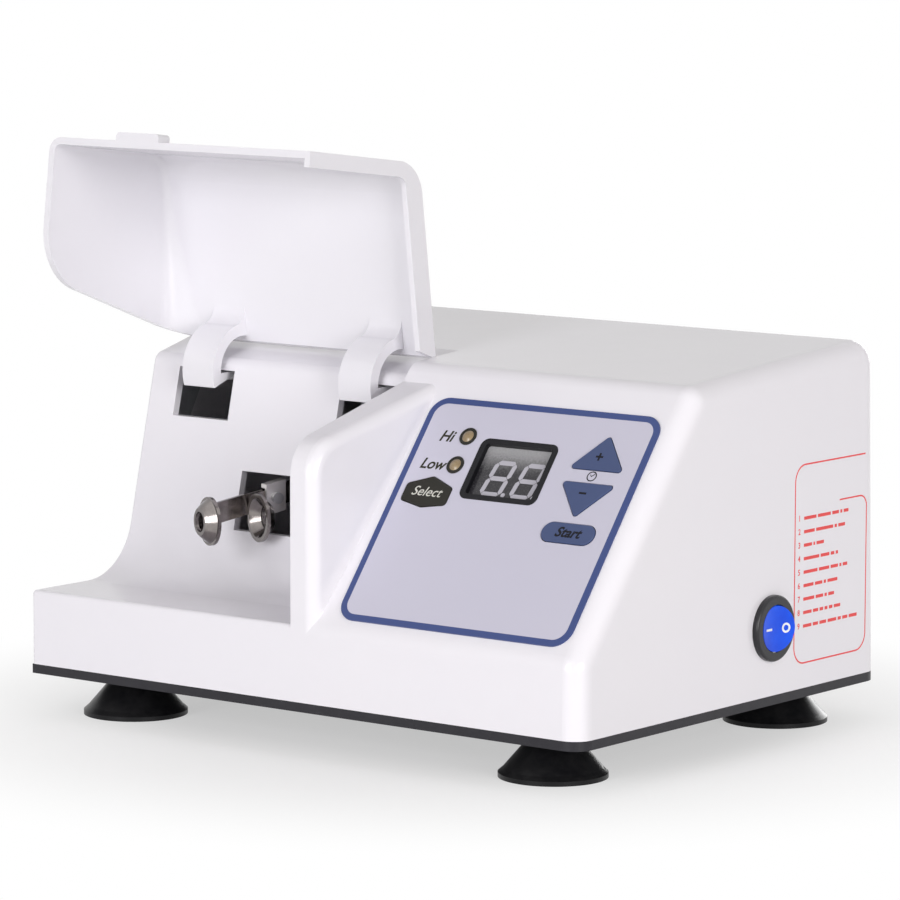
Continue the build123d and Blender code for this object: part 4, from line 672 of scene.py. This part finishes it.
# ---------------------------------------------------------------- side wall print
SIDE_LEFT, SIDE_RIGHT, SIDE_LOW, SIDE_HIGH = 124.1, 168.6, 26.6, 95.8
SIDE_TURN = 6.0
NOTCH_TURN = 4.0
HEADING_HEIGHT = 14.6
FIRST_ROW_DROP = HEADING_HEIGHT + NOTCH_TURN
FRAME_END = 17.0
FRAME_LINE = 0.55
ROW_PITCH = 4.7
NUMBER_IN, NUMBER_SIZE = 2.7, 2.9
RULES_IN, RULE_DROP, RULE_LINE, RULE_GAP = 4.6, 0.1, 1.15, 0.9
SIDE_INK = (-0.02, PRINT)
# each row's broken rule: the lengths of its dashes from left to right
RULES = (
    (7.6, 8.0, 4.2, 1.2, 3.0),
    (6.6, 10.6, 1.4, 4.2),
    (5.0, 1.0, 4.6),
    (9.6, 5.4, 2.2, 1.4),
    (8.6, 6.4, 4.6, 1.2, 2.8),
    (6.2, 4.6, 1.4, 6.2),
    (6.8, 4.6, 1.4, 3.6),
    (5.2, 3.2, 2.2, 1.8, 2.2, 4.0),
    (5.2, 3.2, 4.2, 5.4, 2.0, 3.2, 5.0),
)


def corner_arc(y, z, start, radius=SIDE_TURN):
    """Quarter circle of 12 points from a starting angle, anticlockwise."""
    t = np.linspace(start, start + 90, 12) * math.pi / 180
    return np.stack([y + radius * np.cos(t), z + radius * np.sin(t)], -1)


def side_frame():
    """Open frame: from the top right, round three corners and back in under the heading's place."""
    top = [[SIDE_RIGHT - 1.0, SIDE_HIGH]]
    upper = corner_arc(SIDE_LEFT + SIDE_TURN, SIDE_HIGH - SIDE_TURN, 90)
    lower = corner_arc(SIDE_LEFT + SIDE_TURN, SIDE_LOW + SIDE_TURN, 180)
    right = corner_arc(SIDE_RIGHT - SIDE_TURN, SIDE_LOW + SIDE_TURN, 270)
    notch = corner_arc(SIDE_RIGHT - NOTCH_TURN, SIDE_HIGH - FIRST_ROW_DROP, 0, NOTCH_TURN)
    end = [[SIDE_RIGHT - FRAME_END, SIDE_HIGH - HEADING_HEIGHT]]
    return np.concatenate([top, upper, lower, right, notch, end])


def side_row(row, lengths):
    """One row of the side label: its number and its broken rule."""
    z = SIDE_HIGH - FIRST_ROW_DROP - ROW_PITCH * (row - 1)
    lettering(f"side_number_{row}", str(row), (SIDE_LEFT + NUMBER_IN, z), NUMBER_SIZE, *SIDE_INK, on_side,
              PRINT_RED, "body", "shell_white", weight=0.05)
    ends = np.cumsum(np.array(lengths) + RULE_GAP) + SIDE_LEFT + RULES_IN
    for dash, (end, length) in enumerate(zip(ends, lengths), 1):
        path = [(end - length, z - RULE_DROP), (end, z - RULE_DROP)]
        stroke_piece(f"side_rule_{row}_{dash}", path, RULE_LINE, *SIDE_INK, on_side, PRINT_RED, "body",
                     "shell_white")


stroke_piece("side_frame", side_frame(), FRAME_LINE, *SIDE_INK, on_side, PRINT_RED, "body", "shell_white")
for row, lengths in enumerate(RULES, 1):
    side_row(row, lengths)

# ---------------------------------------------------------------- rocker marks
ROCKER_INK = (-0.05, PRINT)
OFF_MIDDLE = (4.1, 0.0)
ON_WIDTH = 0.8
# nine points, so that the stroke follows the dish
ON_PATH = np.stack([np.linspace(-5.7, -2.5, 9), np.zeros(9)], -1)
ring_piece("mark_off", circle_loop(*OFF_MIDDLE, 1.75, 48), circle_loop(*OFF_MIDDLE, 1.0, 48), *ROCKER_INK,
           on_rocker, PRINT_WHITE, "rocker", "rocker_blue")
stroke_piece("mark_on", ON_PATH, ON_WIDTH, *ROCKER_INK, on_rocker, PRINT_WHITE, "rocker", "rocker_blue")

# ---------------------------------------------------------------- centring springs
# the hub's lug, between the two springs
LUG_MIDDLE = np.array([87.0, 116.0, 79.8])
SPRING_START = 3.5
SPRING_LENGTH = 10.0
SPRING_TURNS = 6
TURN_STEPS = 26
COIL_RADIUS = 3.15
WIRE_RADIUS = 0.45
WIRE_SIDES = 12


def spring_coil(name, side):
    """Helix x = start + L t, y = R cos a, z = R sin a, a = 2 pi n t, with a round wire carried along it.
    """
    t = np.linspace(0, 1, SPRING_TURNS * TURN_STEPS + 1)
    a = 2 * math.pi * SPRING_TURNS * t
    outward = np.stack([np.zeros_like(a), np.cos(a), np.sin(a)], -1)
    path = LUG_MIDDLE + COIL_RADIUS * outward
    path[:, 0] += side * (SPRING_START + SPRING_LENGTH * t)
    run = np.gradient(path, axis=0)
    across = np.cross(run / np.linalg.norm(run, axis=1, keepdims=True), outward)
    v = np.linspace(0, 2 * math.pi, WIRE_SIDES, endpoint=False)[:, None]
    wire = path[:, None] + WIRE_RADIUS * (np.cos(v) * outward[:, None] + np.sin(v) * across[:, None])
    corners = list(range(len(t) * WIRE_SIDES))
    faces = tube_faces(len(t), WIRE_SIDES) + [corners[:WIRE_SIDES][::-1], corners[-WIRE_SIDES:]]
    coil = piece(name, to_frame(wire), faces, STEEL, None, smooth=True)
    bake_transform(coil)
    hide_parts("centring_springs")


spring_coil("spring_coil_right", 1)
spring_coil("spring_coil_left", -1)

# ---------------------------------------------------------------- floor, light and camera
FLOOR_RADII = (0.0005, 0.4, 1.0, 2.5, 6.0)
FLOOR_SIDES = 96
# the floor's own shading fades out between these radii, and starts already half faded
FADE_REACH = (0.09, 0.24)
FADE_START = 0.50
WORLD_TINT = (1.0, 0.955, 0.94)
WORLD_STRENGTH = 0.30
LAMP_SIZE = 0.9
LAMP_AIM = Vector((0, 0, 0.08))
CAMERA_LENS = 193.85
CAMERA_PLACE = (1.03863, -1.33674, 0.3155)
CAMERA_ROUND = math.radians(38.016)
CAMERA_DOWN = math.radians(7.419)
CAMERA_ROLL = math.radians(0.101)


def studio_floor():
    """Pale floor that fades into the white backdrop away from the object and keeps its shadow."""
    t = np.linspace(0, 2 * math.pi, FLOOR_SIDES, endpoint=False)
    r = np.array(FLOOR_RADII)[:, None]
    points = np.stack([r * np.cos(t), r * np.sin(t), np.zeros((len(FLOOR_RADII), FLOOR_SIDES))], -1)
    faces = [face[::-1] for face in tube_faces(len(FLOOR_RADII), FLOOR_SIDES)]
    mesh = bpy.data.meshes.new("studio_floor")
    mesh.from_pydata([tuple(p) for p in points.reshape(-1, 3)], [], faces)
    floor = bpy.data.objects.new("studio_floor", mesh)
    bpy.context.scene.collection.objects.link(floor)
    material, tree, shader = start_finish("studio_floor")
    shader.inputs["Base Color"].default_value = (0.93, 0.93, 0.93, 1)
    shader.inputs["Roughness"].default_value = 0.9
    shader.inputs["Specular IOR Level"].default_value = 0.1
    backdrop = tree.nodes.new("ShaderNodeEmission")
    backdrop.inputs["Color"].default_value = (1, 1, 1, 1)
    away = tree.nodes.new("ShaderNodeVectorMath")
    away.operation = "LENGTH"
    tree.links.new(object_place(tree), away.inputs[0])
    fade = smooth_rise(tree, away.outputs["Value"], *FADE_REACH, start=FADE_START)
    factor = maths(tree, "MULTIPLY", fade, seen_directly(tree))
    blend_surfaces(tree, factor, shader, backdrop, "Material Output")
    mesh.materials.append(material)


def studio_world():
    """Soft even light; white where the camera, a reflection or a see-through part looks straight at it."""
    world = bpy.data.worlds.new("studio")
    bpy.context.scene.world = world
    world.use_nodes = True
    tree = world.node_tree
    light = tree.nodes["Background"]
    light.inputs["Color"].default_value = (*WORLD_TINT, 1)
    light.inputs["Strength"].default_value = WORLD_STRENGTH
    white = tree.nodes.new("ShaderNodeBackground")
    white.inputs["Color"].default_value = (1, 1, 1, 1)
    blend_surfaces(tree, seen_directly(tree), light, white, "World Output")


def soft_lamp(name, place, watts, tint=(1, 1, 1)):
    """Square soft lamp at a place, turned to the object."""
    data = bpy.data.lights.new(name, "AREA")
    data.shape = "SQUARE"
    data.size = LAMP_SIZE
    data.energy = watts
    data.color = tint
    lamp = bpy.data.objects.new(name, data)
    lamp.location = place
    lamp.rotation_euler = (LAMP_AIM - Vector(place)).to_track_quat("-Z", "Y").to_euler()
    bpy.context.scene.collection.objects.link(lamp)


def studio_camera():
    """Long lens from the front right, a little above the object."""
    data = bpy.data.cameras.new("camera")
    data.sensor_width = 36.0
    data.lens = CAMERA_LENS
    data.clip_end = 50.0
    camera = bpy.data.objects.new("camera", data)
    bpy.context.scene.collection.objects.link(camera)
    turn = Matrix.Rotation(CAMERA_ROUND, 4, "Z")
    tip = Matrix.Rotation(math.radians(90) - CAMERA_DOWN, 4, "X")
    roll = Matrix.Rotation(CAMERA_ROLL, 4, "Z")
    camera.matrix_world = Matrix.Translation(CAMERA_PLACE) @ turn @ tip @ roll
    bpy.context.scene.camera = camera


studio_floor()
studio_world()
soft_lamp("key_lamp", (0.0, -2.0, 0.50), 18.8, (0.98, 0.975, 1.0))
soft_lamp("side_lamp", (1.9, -0.75, 0.50), 21.0, (1.0, 0.985, 0.985))
soft_lamp("rear_lamp", (-0.3, 1.9, 0.45), 11.0)
studio_camera()
bpy.context.scene.view_settings.view_transform = "Standard"
